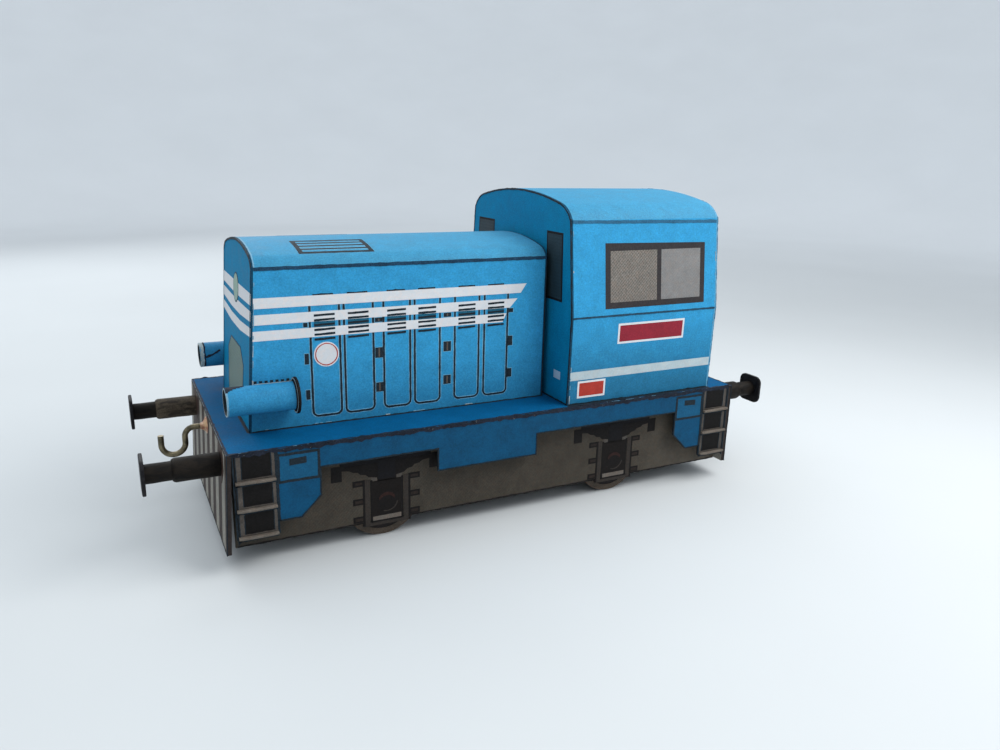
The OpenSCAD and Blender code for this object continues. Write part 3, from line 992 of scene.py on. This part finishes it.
def card(name, colour, grain=0.16, mottle=0.1, fleck=0.0, rough=0.6, edge_axis=None, edge=None,
         hatch=0.0, wave=0.035, specular=0.12, fibre=0.006, fade=None, lit_end=None):
    """Printed card: inkjet grain, cloudy ink, paper fibre, and another colour on cut edges.
    fade is (foot, top, how dark at the foot), a painted shade that darkens the card towards its
    foot, and lit_end (where the pale end starts, length), a painted light that makes the card paler
    towards one end."""
    n = Nodes(name)
    fine = n.noise(5.2, 3, 0.62)
    tiny = n.noise(11.0, 1, 0.5)
    cloud = n.noise(0.55, 4, 0.6, warp=0.4)
    shade = n.vary(fine, 1 - grain, 1 + grain)
    shade = n.times(shade, n.vary(cloud, 1 - mottle, 1 + mottle))
    shade = n.times(shade, n.vary(tiny, 1 - grain * 0.6, 1 + grain * 0.6))
    if hatch:
        ahead = n.math("ADD", n.axis("X"), n.axis("Z"))
        athwart = n.math("SUBTRACT", n.axis("X"), n.axis("Z"))
        rows = n.math("SINE", n.math("MULTIPLY", ahead, 2 * math.pi / (HATCH_ROWS * MM)))
        lines = n.math("SINE", n.math("MULTIPLY", athwart, 2 * math.pi / (HATCH_LINES * MM)))
        weave = n.math("ADD", rows, n.math("MULTIPLY", lines, 0.5))
        shade = n.times(shade, n.spread(weave, -1.5, 1.5, 1 - hatch, 1 + hatch))
    # fade is a painted shade: the card is darker towards its foot
    if fade:
        foot, top, dark = fade
        shade = n.times(shade, n.spread(n.axis("Z"), foot * MM, top * MM, dark, 1, True))
    # Painted light: the card is paler towards one end
    if lit_end:
        start, length = lit_end
        ends = (start * MM, (start + length) * MM)
        shade = n.times(shade, n.spread(n.axis("X"), *ends, LIT_END_PALER, 1, True))
    tinted = n.tint(colour, shade)
    hue = n.noise(2.1, 2, 0.5)
    warm = tuple(min(c * w, 1) for c, w in zip(colour, WARMER))
    warmer = n.tint(warm, shade)
    tinted = n.mix(n.spread(hue, 0.42, 0.66, 0, 0.55, True), tinted, warmer)
    if fleck:
        spots = n.noise(3.4, 2, 0.7)
        share = n.spread(spots, 0.66, 0.76, 0, fleck, True)
        tinted = n.mix(share, tinted, rgb(214, 214, 205))
    if edge_axis:
        facing = n.math("ABSOLUTE", n.axis(edge_axis, "Normal"))
        rag = n.vary(n.noise(2.6, 3, 0.6), -0.2, 0.2)
        share = n.spread(n.math("ADD", facing, rag), 0.45, 0.7, 1, 0)
        tinted = n.mix(share, tinted, n.tint(edge, n.vary(fine, 0.7, 1.35)))
    fibres = n.noise(7.0, 4, 0.65, stretch=(1.0, 1.0, 0.55))
    bent = n.bump(n.noise(0.11, 2, 0.5), wave)
    normal = n.bump(fibres, fibre, 0.7, bent)
    shine = n.vary(cloud, rough - 0.07, rough + 0.08)
    return n.finish(tinted, shine, normal, Specular_IOR_Level=specular)


BRUSH_DEPTH = 0.03


def painted(name, colour, other, rough=0.6):
    """Thick hand-brushed paint over rolled paper."""
    n = Nodes(name)
    strokes = n.noise(1.5, 5, 0.62, stretch=(0.35, 1.0, 1.0), warp=0.6)
    grit = n.noise(6.5, 3, 0.7)
    mixed = n.mix(n.spread(strokes, 0.38, 0.64, 0, 1, True), colour, other)
    mixed = n.tint(mixed, n.spread(grit, 0.28, 0.72, 0.62, 1.35))
    normal = n.bump(grit, 0.4 * BRUSH_DEPTH, 0.9, n.bump(strokes, BRUSH_DEPTH))
    shine = n.vary(grit, rough - 0.15, rough + 0.15)
    return n.finish(mixed, shine, normal, Specular_IOR_Level=0.12)


def wire_metal():
    n = Nodes("hook_wire_steel")
    drawn = n.noise(3.0, 3, 0.6, stretch=(0.5, 1.6, 0.5))
    stain = n.noise(0.8, 4, 0.62)
    base = n.mix(n.spread(stain, 0.35, 0.65, 0, 1, True), rgb(132, 122, 98), rgb(76, 72, 60))
    base = n.tint(base, n.vary(drawn, 0.8, 1.15))
    normal = n.bump(drawn, 0.008, 0.7)
    shine = n.vary(stain, 0.3, 0.5)
    return n.finish(base, shine, normal, Metallic=0.9)


def glue():
    n = Nodes("dried_glue")
    lumps = n.noise(1.7, 3, 0.5)
    base = n.mix(n.spread(lumps, 0.35, 0.65, 0, 1, True), rgb(196, 160, 120), rgb(150, 95, 70))
    normal = n.bump(lumps, 0.08, 0.8)
    return n.finish(base, n.vary(lumps, 0.25, 0.5), normal, Specular_IOR_Level=0.6)


def wood():
    n = Nodes("axle_wood")
    grain = n.noise(2.2, 4, 0.6, stretch=(1.0, 0.06, 1.0), warp=0.3)
    pores = n.noise(7.0, 2, 0.5, stretch=(1.0, 0.15, 1.0))
    base = n.mix(n.spread(grain, 0.35, 0.65, 0, 1), rgb(196, 160, 112), rgb(150, 112, 70))
    base = n.tint(base, n.vary(pores, 0.82, 1.12))
    normal = n.bump(grain, 0.02, 0.8)
    return n.finish(base, n.vary(pores, 0.55, 0.75), normal)


def plain_stage(name, colour, rough):
    n = Nodes(name)
    soft = n.noise(0.02, 3, 0.5)
    # Paler away from the object, where less light falls, so that no edge shows in the slope
    near, far = 120 * MM, 520 * MM
    reach = n.node("VectorMath")
    reach.operation = "LENGTH"
    n.put(reach.inputs[0], n.coords.outputs["Object"])
    share = n.spread(reach.outputs["Value"], near, far, 0, 1, True)
    colour = n.mix(share, colour, rgb(236, 240, 243))
    return n.finish(n.tint(colour, n.vary(soft, 0.985, 1.015)), rough, None,
                    Specular_IOR_Level=0.2)


SIDE_BLUE = rgb(46, 140, 188)
ROOF_BLUE = rgb(55, 131, 168)
# The front, deck and skirt blues are the same blue print made darker: painted shade on the faces
# turned to the front, on the deck and on the skirts
FRONT_BLUE_SHADED = rgb(10, 116, 158)
DECK_BLUE_SHADED = rgb(6, 80, 124)
SKIRT_BLUE_SHADED = rgb(8, 68, 102)
DARK_EDGE = rgb(30, 36, 44)

# Each ink has its material's name and its colour, and then its grain, mottle and fleck.
INKS = {
    "sky": ("box_panel_blue", rgb(18, 78, 112)),
    "teal": ("louvre_teal", rgb(26, 88, 114)),
    "white": ("white_print", rgb(202, 206, 210), 0.03, 0.03),
    "cab_white": ("cab_white", rgb(166, 182, 188), 0.06, 0.06),
    "dull_white": ("dull_white", rgb(160, 182, 200), 0.05, 0.05),
    "soft": ("faint_edge", rgb(104, 150, 176), 0.16),
    "cream": ("pale_fringe", rgb(100, 158, 188), 0.14),
    "black": ("charcoal_print", rgb(27, 38, 46), 0.35, 0.1, 0.05),
    "spring_ink": ("spring_ink", rgb(26, 58, 82), 0.4, 0.25, 0.06),
    "soft_ink": ("soft_ink", rgb(34, 66, 86), 0.3, 0.2),
    "blue_ink": ("blue_ink", rgb(42, 92, 122), 0.26, 0.2),
    "marker": ("marker_ink", rgb(28, 34, 46), 0.36, 0.35, 0.22),
    "brown": ("hinge_brown", rgb(84, 76, 70), 0.2),
    "red": ("red_print", rgb(158, 54, 46), 0.1),
    "dark_red": ("dark_red_print", rgb(132, 38, 52), 0.14),
    "lens": ("lamp_face", rgb(190, 198, 186), 0.06),
    "front_lens": ("front_lamp_face", rgb(138, 162, 152), 0.1),
    "window_edge": ("window_frame_print", rgb(48, 46, 48), 0.24),
    "slate": ("slate_print", rgb(20, 20, 23), 0.2),
    "cell": ("ladder_shadow", rgb(17, 16, 16), 0.34, 0.25),
    # The ladder's posts and rungs and the tie bar under each axle box are darker than their card:
    # painted shade under the deck
    "post": ("ladder_post", rgb(74, 70, 66), 0.2, 0.24),
    "ink_brown": ("gear_ink", rgb(21, 19, 19), 0.32),
    "band": ("headstock_band", rgb(56, 46, 42), 0.3, 0.3),
    "stain": ("buffer_stain", rgb(62, 48, 42), 0.34, 0.35),
    "umber": ("umber_print", rgb(40, 34, 31), 0.26),
    "soot": ("axle_box_print", rgb(22, 19, 18), 0.28),
    "mid_grey": ("guard_grey", rgb(50, 46, 43), 0.2),
    # Darker than the pale tie bar is: painted shade
    "light": ("tie_light", rgb(98, 92, 86), 0.14),
    "rust": ("rust_print", rgb(44, 28, 25), 0.26),
    "rim": ("wheel_rim", rgb(78, 70, 62), 0.18, 0.2),
    "wheel_dark": ("wheel_dark", rgb(36, 33, 33), 0.3, 0.3),
}
looks = {key: card(*settings) for key, settings in INKS.items()}
looks.update({
    # side_blue and cab_blue darken towards the deck: a painted shade on the lower sides of the hood
    # and the cab
    "side_blue": card("side_blue", SIDE_BLUE, edge_axis="Y", edge=DARK_EDGE,
                      fade=(DECK - 2, DECK + 9, 0.66)),
    "cab_blue": card("cab_blue", SIDE_BLUE, edge_axis="Y", edge=DARK_EDGE,
                     fade=(DECK + 1, DECK + CAB_WAIST_V, 0.52)),
    "roof_blue": card("roof_blue", ROOF_BLUE),
    # front_blue, deck_blue and skirt_blue take the darker blues: painted shade
    "front_blue": card("front_blue", FRONT_BLUE_SHADED, edge_axis="X", edge=rgb(24, 62, 84),
                       specular=0.04),
    "rear_blue": card("rear_blue", SIDE_BLUE, edge_axis="X", edge=rgb(84, 140, 170)),
    "deck_blue": card("deck_blue", DECK_BLUE_SHADED, specular=0.04),
    "skirt_blue": card("skirt_blue", SKIRT_BLUE_SHADED, edge_axis="Y", edge=DARK_EDGE, mottle=0.16),
    # The side frames' print is darker than its grey as a painted shade under the skirts, and paler
    # towards the rear end as a painted light
    "frame_print": card("side_frame_print", rgb(64, 60, 54), grain=0.14, mottle=0.14,
                        hatch=0.07, edge_axis="Y", edge=DARK_EDGE, specular=0.06,
                        lit_end=(low("deck", "X"), 18)),
    "stripe_white": card("headstock_pale", rgb(136, 134, 126), grain=0.18, mottle=0.2,
                         edge_axis="X", edge=rgb(46, 40, 38)),
    "lamp_blue": card("lamp_blue", rgb(42, 124, 168), rough=0.5, wave=0.0),
    "core": card("card_core", rgb(160, 174, 176), 0.16, fibre=0.02),
    "grille": card("grille_print", rgb(100, 120, 116), 0.12, hatch=0.06),
    "pane": card("pane_print", rgb(108, 104, 99), 0.26, 0.1, 0.1, hatch=0.3),
    "pane_plain": card("pane_plain", rgb(118, 118, 118), 0.12, hatch=0.06),
    "dark_pane": card("dark_pane_print", rgb(36, 52, 60), 0.2, hatch=0.1, rough=0.45),
    "board": card("grey_board", rgb(150, 143, 130), 0.2, 0.12, fibre=0.03, rough=0.8),
    # Darker than the rung card is: painted shade
    "rung": card("rung_card", rgb(98, 92, 85), 0.2, 0.25, fibre=0.02),
    "wheel_edge": card("wheel_edge", rgb(88, 76, 66), 0.24, 0.24, fibre=0.03),
    "buffer_paint": painted("buffer_paint", rgb(30, 25, 20), rgb(15, 13, 12)),
    # far_lit_paint is the buffer paint made paler: a painted light on the far barrels
    "far_lit_paint": painted("far_lit_paint", rgb(84, 74, 62), rgb(52, 46, 40), 0.65),
    "buffer_dark": painted("buffer_dark", rgb(34, 33, 35), rgb(20, 20, 23), 0.5),
    "wire": wire_metal(),
    "glue": glue(),
    "wood": wood(),
})

CARRIED = {
    "board": "deck bearer_left bearer_right cross_formers",
    "stripe_white": "headstock_front headstock_rear",
    "skirt_blue": "skirt_left skirt_right",
    "frame_print": "side_frame_left side_frame_right",
    "side_blue": "hood_side_left hood_side_right",
    "cab_blue": "cab_side_left cab_side_right",
    "roof_blue": "hood_roof cab_roof",
    "front_blue": "hood_front hood_rear cab_front",
    "rear_blue": "cab_rear",
    "wood": "front_axle rear_axle",
}
for look, nodes in CARRIED.items():
    for node in nodes.split():
        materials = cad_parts[node].data.materials
        materials.clear()
        materials.append(looks[look])


# ---------------------------------------------------------------- headlamps

LAMP_X = high("headlamp_left", "X")
LAMP_BACK_X = low("headlamp_left", "X")
COLLAR_R = radius("headlamp_left")
LAMP_Z = high("headlamp_left", "Z") - COLLAR_R
LAMP_Y = high("headlamp_left", "Y") - COLLAR_R
LAMP_R = 1.6
COLLAR_LEN = 0.35


def headlamp(name, side):
    shell = Shell()

    def place(x, c, s):
        y = max(LAMP_Y + c, HOOD_Y + 0.01)
        return (x, side * y, LAMP_Z + s)

    def dent(x, turn):
        return 0.02 * noise.noise((x * 0.7, math.cos(turn) * 1.4, math.sin(turn) * 1.4 + side))

    collar_x = LAMP_BACK_X + COLLAR_LEN
    profile = [
        (LAMP_X - 0.35, 0), (LAMP_X - 0.35, 1.28), (LAMP_X - 0.04, 1.32), (LAMP_X, 1.44),
        (LAMP_X, LAMP_R - 0.06), (LAMP_X - 0.05, LAMP_R - 0.01), (LAMP_X - 0.3, LAMP_R),
        (LAMP_X - 2.2, LAMP_R), (LAMP_X - 4.2, LAMP_R), (LAMP_X - 6.2, LAMP_R),
        (collar_x + 0.12, LAMP_R), (collar_x + 0.02, LAMP_R + 0.05), (collar_x, LAMP_R + 0.1),
        (collar_x, LAMP_R + 0.24), (collar_x, COLLAR_R - 0.1), (collar_x - 0.1, COLLAR_R - 0.02),
        (collar_x - 0.2, COLLAR_R - 0.01), (LAMP_BACK_X + 0.03, COLLAR_R - 0.03),
        (LAMP_BACK_X, COLLAR_R - 0.1), (LAMP_BACK_X, 0),
    ]
    kinds = [2, 3, 4, 1, 1, 0, 0, 0, 0, 0, 4, 4, 4, 1, 4, 4, 4, 5, 5]
    lathe(shell, profile, place, 64, kinds, dent)
    make("headlamp_tube_" + name, shell,
         [looks["lamp_blue"], looks["core"], looks["lens"], looks["black"], looks["ink_brown"],
          looks["blue_ink"]],
         slot="lamp_card", stands_for=["headlamp_" + name])
    p = Panel("lamp_" + name, tube_surface(LAMP_Y, LAMP_Z, LAMP_R, side))
    # Teeth of the gluing tab on the hood's side, just above the tube
    wall = Panel("hood_" + name, beside(HOOD_Y, side))
    tab = LAMP_Z - DECK + 1.4
    front, rear = hood_front_edge(tab) - 0.15, LAMP_BACK_X - 0.3
    wall.line("core", [(front, tab - 0.22), (rear, tab - 0.22)], 0.16, 1, 0.05, side)
    x = front
    while x > rear:
        wall.line("black", [(x, tab), (x - 0.34, tab + 0.02)], 0.28, 2, 0.05, x)
        x -= 0.6
    if side > 0:
        # A smear of marker ink over the top of the front end
        for i, reach in enumerate((2.0, 2.1, 2.1, 1.9, 1.6, 1.2, 0.8, 0.5, 0.3)):
            v = -0.5 + 0.17 * i
            p.line("marker", [(LAMP_X - 0.03, v), (LAMP_X - reach, v)], 0.2, 3, 0.05, i)
    else:
        # A torn rim with a crease behind it and another along the tube
        turns = [LAMP_R * math.radians(a) for a in range(-150, 31, 10)]
        p.line("core", [(LAMP_X - 0.24, v) for v in turns], 0.42, 2, 0.16)
        p.line("marker", [(LAMP_X - 0.56, v) for v in turns], 0.16, 3, 0.09)
        crease = [(LAMP_X - 0.6, -2.5), (LAMP_X - 1.5, -2.2), (LAMP_X - 2.5, -1.7)]
        p.line("marker", crease, 0.22, 3, 0.12)
    rim = [(LAMP_X - 0.1, LAMP_R * math.radians(a)) for a in range(0, 361, 8)]
    p.line("soft", rim, 0.16, 1, 0.06, 6)


# ---------------------------------------------------------------- buffers

def buffer_set(end, sign):
    barrels = Shell()
    heads = Shell()
    for side in (1, -1):
        y0 = side * BUFFER_Y
        z0 = DECK + BUFFER_V

        def place(x, c, s):
            return (sign * x, y0 + c, z0 + s)

        def lumps(x, turn):
            where = (x * 0.8, math.cos(turn) * 1.2 + side * 5, math.sin(turn) * 1.2 + sign * 9)
            return 0.045 * noise.noise(where) - 0.02

        root = DECK_X + 0.02 + (past_deck(BUFFER_V) if sign > 0 else 0)
        r = BARREL_R
        profile = [(root, 0), (root, r - 0.02), (root + 0.12, r), (root + 1.2, r), (root + 2.4, r),
                   (root + 3.6, r), (BARREL_END_X - 0.35, r), (BARREL_END_X - 0.1, r - 0.1),
                   (BARREL_END_X, r - 0.22), (BARREL_END_X, 0)]
        # Near barrels take the dark paint, and far barrels take the paler one as a painted light
        lathe(barrels, profile, place, 40, [0 if side > 0 else 1] * 9, lumps)
        inner = BARREL_END_X - 0.001
        back = HEAD_X - HEAD_T
        r = SHANK_R
        profile = [(inner, 0), (inner, r), (inner + 0.9, r), (inner + 1.8, r), (back + 0.02, r),
                   (back + 0.03, 0)]
        lathe(heads, profile, place, 32, None, lumps)
        buffer_head(heads, sign, y0, z0)
    make("buffer_barrels_%s_rolled" % end, barrels, [looks["buffer_paint"], looks["far_lit_paint"]],
         slot="buffer_card", stands_for=["buffer_barrels_" + end])
    make("buffer_heads_%s_cut" % end, heads, [looks["buffer_paint"], looks["buffer_dark"]],
         slot="buffer_card", stands_for=["buffer_heads_" + end])


def buffer_head(shell, sign, y0, z0):
    """Rounded card plate, its rim softened and its face a little crowned."""
    back = HEAD_X - HEAD_T
    rows = ((back, 0.07), (back + 0.06, 0.0), (HEAD_X - 0.1, 0.0), (HEAD_X - 0.02, 0.06),
            (HEAD_X, 0.2))
    found = []
    for x, pull in rows:
        a, b = HEAD_W / 2 - pull, HEAD_H / 2 - pull
        outline = rounded(-a, -b, a, b, HEAD_CORNER - pull, 7)
        found.append([(sign * x, y0 + u, z0 + v) for u, v in outline])
    shell.loft(found, 1)


# ---------------------------------------------------------------- hooks

WIRE_R = 0.35
HOOK_Z = high("hook_front", "Z") - WIRE_R
HOOK_STEM = 1.55
HOOK_BEND = 1.1
HOOK_BOWL = 1.35
HOOK_DROP = 0.75
HOOK_END = 1.2


def hook(end, sign):
    shell = Shell()
    start = DECK_X + (past_deck(HOOK_Z - DECK) if sign > 0 else 0) - 0.1
    x0 = DECK_X + HOOK_STEM
    path = [(start + (x0 - start) * i / 5, HOOK_Z) for i in range(5)]
    path += arc(x0, HOOK_Z - HOOK_BEND, HOOK_BEND, 90, 0, 12)
    x1 = x0 + HOOK_BEND
    bowl_z = HOOK_Z - HOOK_BEND - HOOK_DROP
    path += arc(x1 + HOOK_BOWL, bowl_z, HOOK_BOWL, 180, 360, 24)
    x2 = x1 + 2 * HOOK_BOWL
    path += [(x2, bowl_z + HOOK_END * i / 4) for i in range(1, 5)]
    sweep(shell, [(sign * a, 0, b) for a, b in path], WIRE_R - 0.005, 18)
    make("hook_%s_wire" % end, shell, looks["wire"], slot="hook_wire", stands_for=["hook_" + end])
    blob = Shell()

    def place(x, c, s):
        return (sign * x, c * 1.25, HOOK_Z + s)

    def lumps(x, turn):
        return 0.16 * noise.noise((x * 1.6, math.cos(turn) * 1.1, math.sin(turn) * 1.1 + sign))

    root = start + 0.08
    profile = [(root, 0), (root, 0.95), (root + 0.12, 0.86), (root + 0.24, 0.62),
               (root + 0.42, 0.46), (root + 0.7, 0.38), (root + 0.8, 0.3), (root + 0.8, 0)]
    lathe(blob, profile, place, 24, None, lumps)
    make("hook_%s_glue" % end, blob, looks["glue"], slot="hook_wire")


# ---------------------------------------------------------------- ladder rungs

def rungs(name, side):
    """Folded card treads, each a little different, with soft edges."""
    shell = Shell()
    reach = high("steps_left", "Y") - DECK_Y
    for end in (1, -1):
        for k, top in enumerate(RUNG_TOPS):
            x0, x1 = end * (LADDER[0] + 0.2 - 0.02), end * (LADDER[1] - 0.2 + 0.02)
            section = rounded(-0.05, -RUNG_T / 2, reach, RUNG_T / 2, 0.1, 4)
            rows = []
            for i in range(RUNG_CUTS + 1):
                t = i / RUNG_CUTS
                sag = 0.03 * noise.noise((t * 2.3, k * 3.1, side * 7.7 + end))
                tight = 0.9 if i in (0, RUNG_CUTS) else 1
                rows.append([(x0 + (x1 - x0) * t, side * (DECK_Y + min(a * tight, reach)),
                              DECK + top - RUNG_T / 2 + b * tight * 0.9 + sag)
                             for a, b in section])
            shell.loft(rows)
    make("rungs_" + name, shell, looks["rung"], slot="step_card", stands_for=["steps_" + name])


# ---------------------------------------------------------------- wheels

WHEEL_R = radius("front_wheel_left")
HUB_R = 1.5
HUB_OUT = 0.15


def wheel(end, name, side):
    node = "%s_wheel_%s" % (end, name)
    x0, z0 = middle(node, "X"), middle(node, "Z")
    y_out = max(abs(low(node, "Y")), abs(high(node, "Y")))
    y_in = min(abs(low(node, "Y")), abs(high(node, "Y")))
    face = y_out - HUB_OUT
    r = WHEEL_R

    def place(y, c, s):
        return (x0 + c, side * y, z0 + s)

    profile = [(y_in, 0), (y_in, r - 0.12), (y_in + 0.04, r - 0.03), (y_in + 0.1, r)]
    kinds = [3, 2, 2]
    layers = 4
    for i in range(1, layers):
        y = y_in + (face - y_in) * i / layers
        profile += [(y - 0.03, r), (y, r - 0.035), (y + 0.03, r)]
        kinds += [2, 2, 2]
    profile += [(face - 0.1, r), (face - 0.03, r - 0.03), (face, r - 0.12), (face, r - 0.82),
                (face - 0.03, r - 0.86), (face - 0.03, HUB_R + 0.03), (face, HUB_R),
                (y_out - 0.04, HUB_R), (y_out, HUB_R - 0.06), (y_out, 0.82), (y_out - 0.02, 0.8),
                (y_out - 0.02, 0)]
    kinds += [2, 2, 2, 0, 1, 1, 1, 2, 0, 0, 1, 3]
    shell = Shell()
    lathe(shell, profile, place, 72, kinds)
    make("%s_wheel_%s_disc" % (end, name), shell,
         [looks["rim"], looks["wheel_dark"], looks["wheel_edge"], looks["wheel_dark"]],
         body=end + "_wheelset", slot="wheel_card", stands_for=[node])


# ---------------------------------------------------------------- putting it together

deck_sheet()
print_hood_front()
print_hood_roof()
print_cab_end(Panel("cab_front", across(lambda v: CAB_FRONT_X)), "black")
print_cab_end(Panel("cab_rear", across(lambda v: CAB_REAR_X, -1)), "blue_ink")
print_cab_rear()
print_headstock(Panel("headstock_front", across(lambda v: DECK_X + past_deck(v))))
print_headstock(Panel("headstock_rear", across(lambda v: -DECK_X, -1)))
print_deck()
for name, side in SIDES:
    print_hood_side(name, side)
    print_cab_side(name, side)
    print_skirt(name, side)
    print_side_frame(name, side)
    headlamp(name, side)
    rungs(name, side)
    for end in ("front", "rear"):
        wheel(end, name, side)
for end, sign in (("front", 1), ("rear", -1)):
    buffer_set(end, sign)
    hook(end, sign)

PANEL_SLOTS = {
    "hood": "hood_card", "cab": "cab_card", "skirt": "skirt_card", "frame": "frame_card",
    "headstock": "headstock_card", "deck": "deck_card", "lamp": "lamp_card",
}
for (panel, colour), shell in sorted(prints.items()):
    make("print_%s_%s" % (panel, colour), shell, looks[colour],
         slot=PANEL_SLOTS[panel.split("_")[0]], smooth=20)


# ---------------------------------------------------------------- camera, stage and light

AIM = Vector((-3.62, 3.37, 15.4)) * MM
VIEW_TURN = math.radians(152.82)
VIEW_RISE = math.radians(15.676)
VIEW_ROLL = math.radians(1.433)
VIEW_DISTANCE = 108.6 * MM
LENS = 28.261
SENSOR = 36
WORLD_LIGHT = 0.93

back = Vector((math.sin(VIEW_TURN) * math.cos(VIEW_RISE),
               -math.cos(VIEW_TURN) * math.cos(VIEW_RISE), math.sin(VIEW_RISE)))
camera = bpy.data.objects.new("camera", bpy.data.cameras.new("camera"))
camera.data.lens = LENS
camera.data.sensor_width = SENSOR
camera.data.clip_start = 1 * MM
camera.data.clip_end = 10
camera.location = AIM + back * VIEW_DISTANCE
level = (-back).to_track_quat("-Z", "Y").to_matrix()
turned = level @ Matrix.Rotation(VIEW_ROLL, 3, "Z")
camera.rotation_mode = "QUATERNION"
camera.rotation_quaternion = turned.to_quaternion()
bpy.context.scene.collection.objects.link(camera)
bpy.context.scene.camera = camera


def studio_bowl():
    """Pale floor that curves up into a slope all round."""
    flat, bend, wall, slope = 420.0, 240.0, 1100.0, math.radians(34)
    profile = [(0, 0), (0, 60), (0, 200), (0, flat)]
    profile += [(bend - bend * math.cos(a), flat + bend * math.sin(a))
                for a in [slope * i / 12 for i in range(1, 13)]]
    rise, reach = profile[-1]
    profile.append((wall, reach + (wall - rise) / math.tan(slope)))
    steps = 96
    points = [(0, 0, 0)]
    for rise, reach in profile[1:]:
        points += [(reach * math.cos(t), reach * math.sin(t), rise) for t in whole_turn(steps)]
    faces = [(0, 1 + k, 1 + (k + 1) % steps) for k in range(steps)]
    for r in range(len(profile) - 2):
        a = 1 + r * steps
        for k in range(steps):
            n = (k + 1) % steps
            faces.append((a + k, a + steps + k, a + steps + n, a + n))
    mesh = bpy.data.meshes.new("studio_floor")
    mesh.from_pydata([(x * MM, y * MM, z * MM) for x, y, z in points], [], faces)
    mesh.materials.append(plain_stage("studio_pale", rgb(196, 200, 202), 0.8))
    mesh.polygons.foreach_set("use_smooth", [True] * len(faces))
    obj = bpy.data.objects.new("studio_floor", mesh)
    bpy.context.scene.collection.objects.link(obj)


def soft_light(name, place, size, power, colour=(1, 1, 1), aim=(0, 0, 18)):
    data = bpy.data.lights.new(name, "AREA")
    data.shape = "RECTANGLE"
    data.size = size[0] * MM
    data.size_y = size[1] * MM
    data.energy = power
    data.color = colour
    obj = bpy.data.objects.new(name, data)
    obj.location = Vector(place) * MM
    ahead = (Vector(aim) * MM - obj.location).normalized()
    obj.rotation_euler = ahead.to_track_quat("-Z", "Y").to_euler()
    obj.visible_camera = False
    bpy.context.scene.collection.objects.link(obj)


studio_bowl()
soft_light("key", (-70, 68, 122), (130, 70), 0.19, (1.0, 0.99, 0.97), (0, 8, 22))
soft_light("side", (-190, 240, 110), (200, 120), 0.05, (0.98, 0.99, 1.0))
soft_light("front_fill", (110, -80, 220), (160, 160), 0.13, (0.92, 0.97, 1.0), (30, 0, 14))
soft_light("back_fill", (60, -230, 170), (220, 160), 0.26, (0.97, 0.99, 1.0))

world = bpy.data.worlds.new("studio")
world.use_nodes = True
background = world.node_tree.nodes["Background"]
background.inputs[0].default_value = rgb(226, 232, 238)
background.inputs[1].default_value = WORLD_LIGHT
bpy.context.scene.world = world
bpy.context.scene.view_settings.view_transform = "Standard"
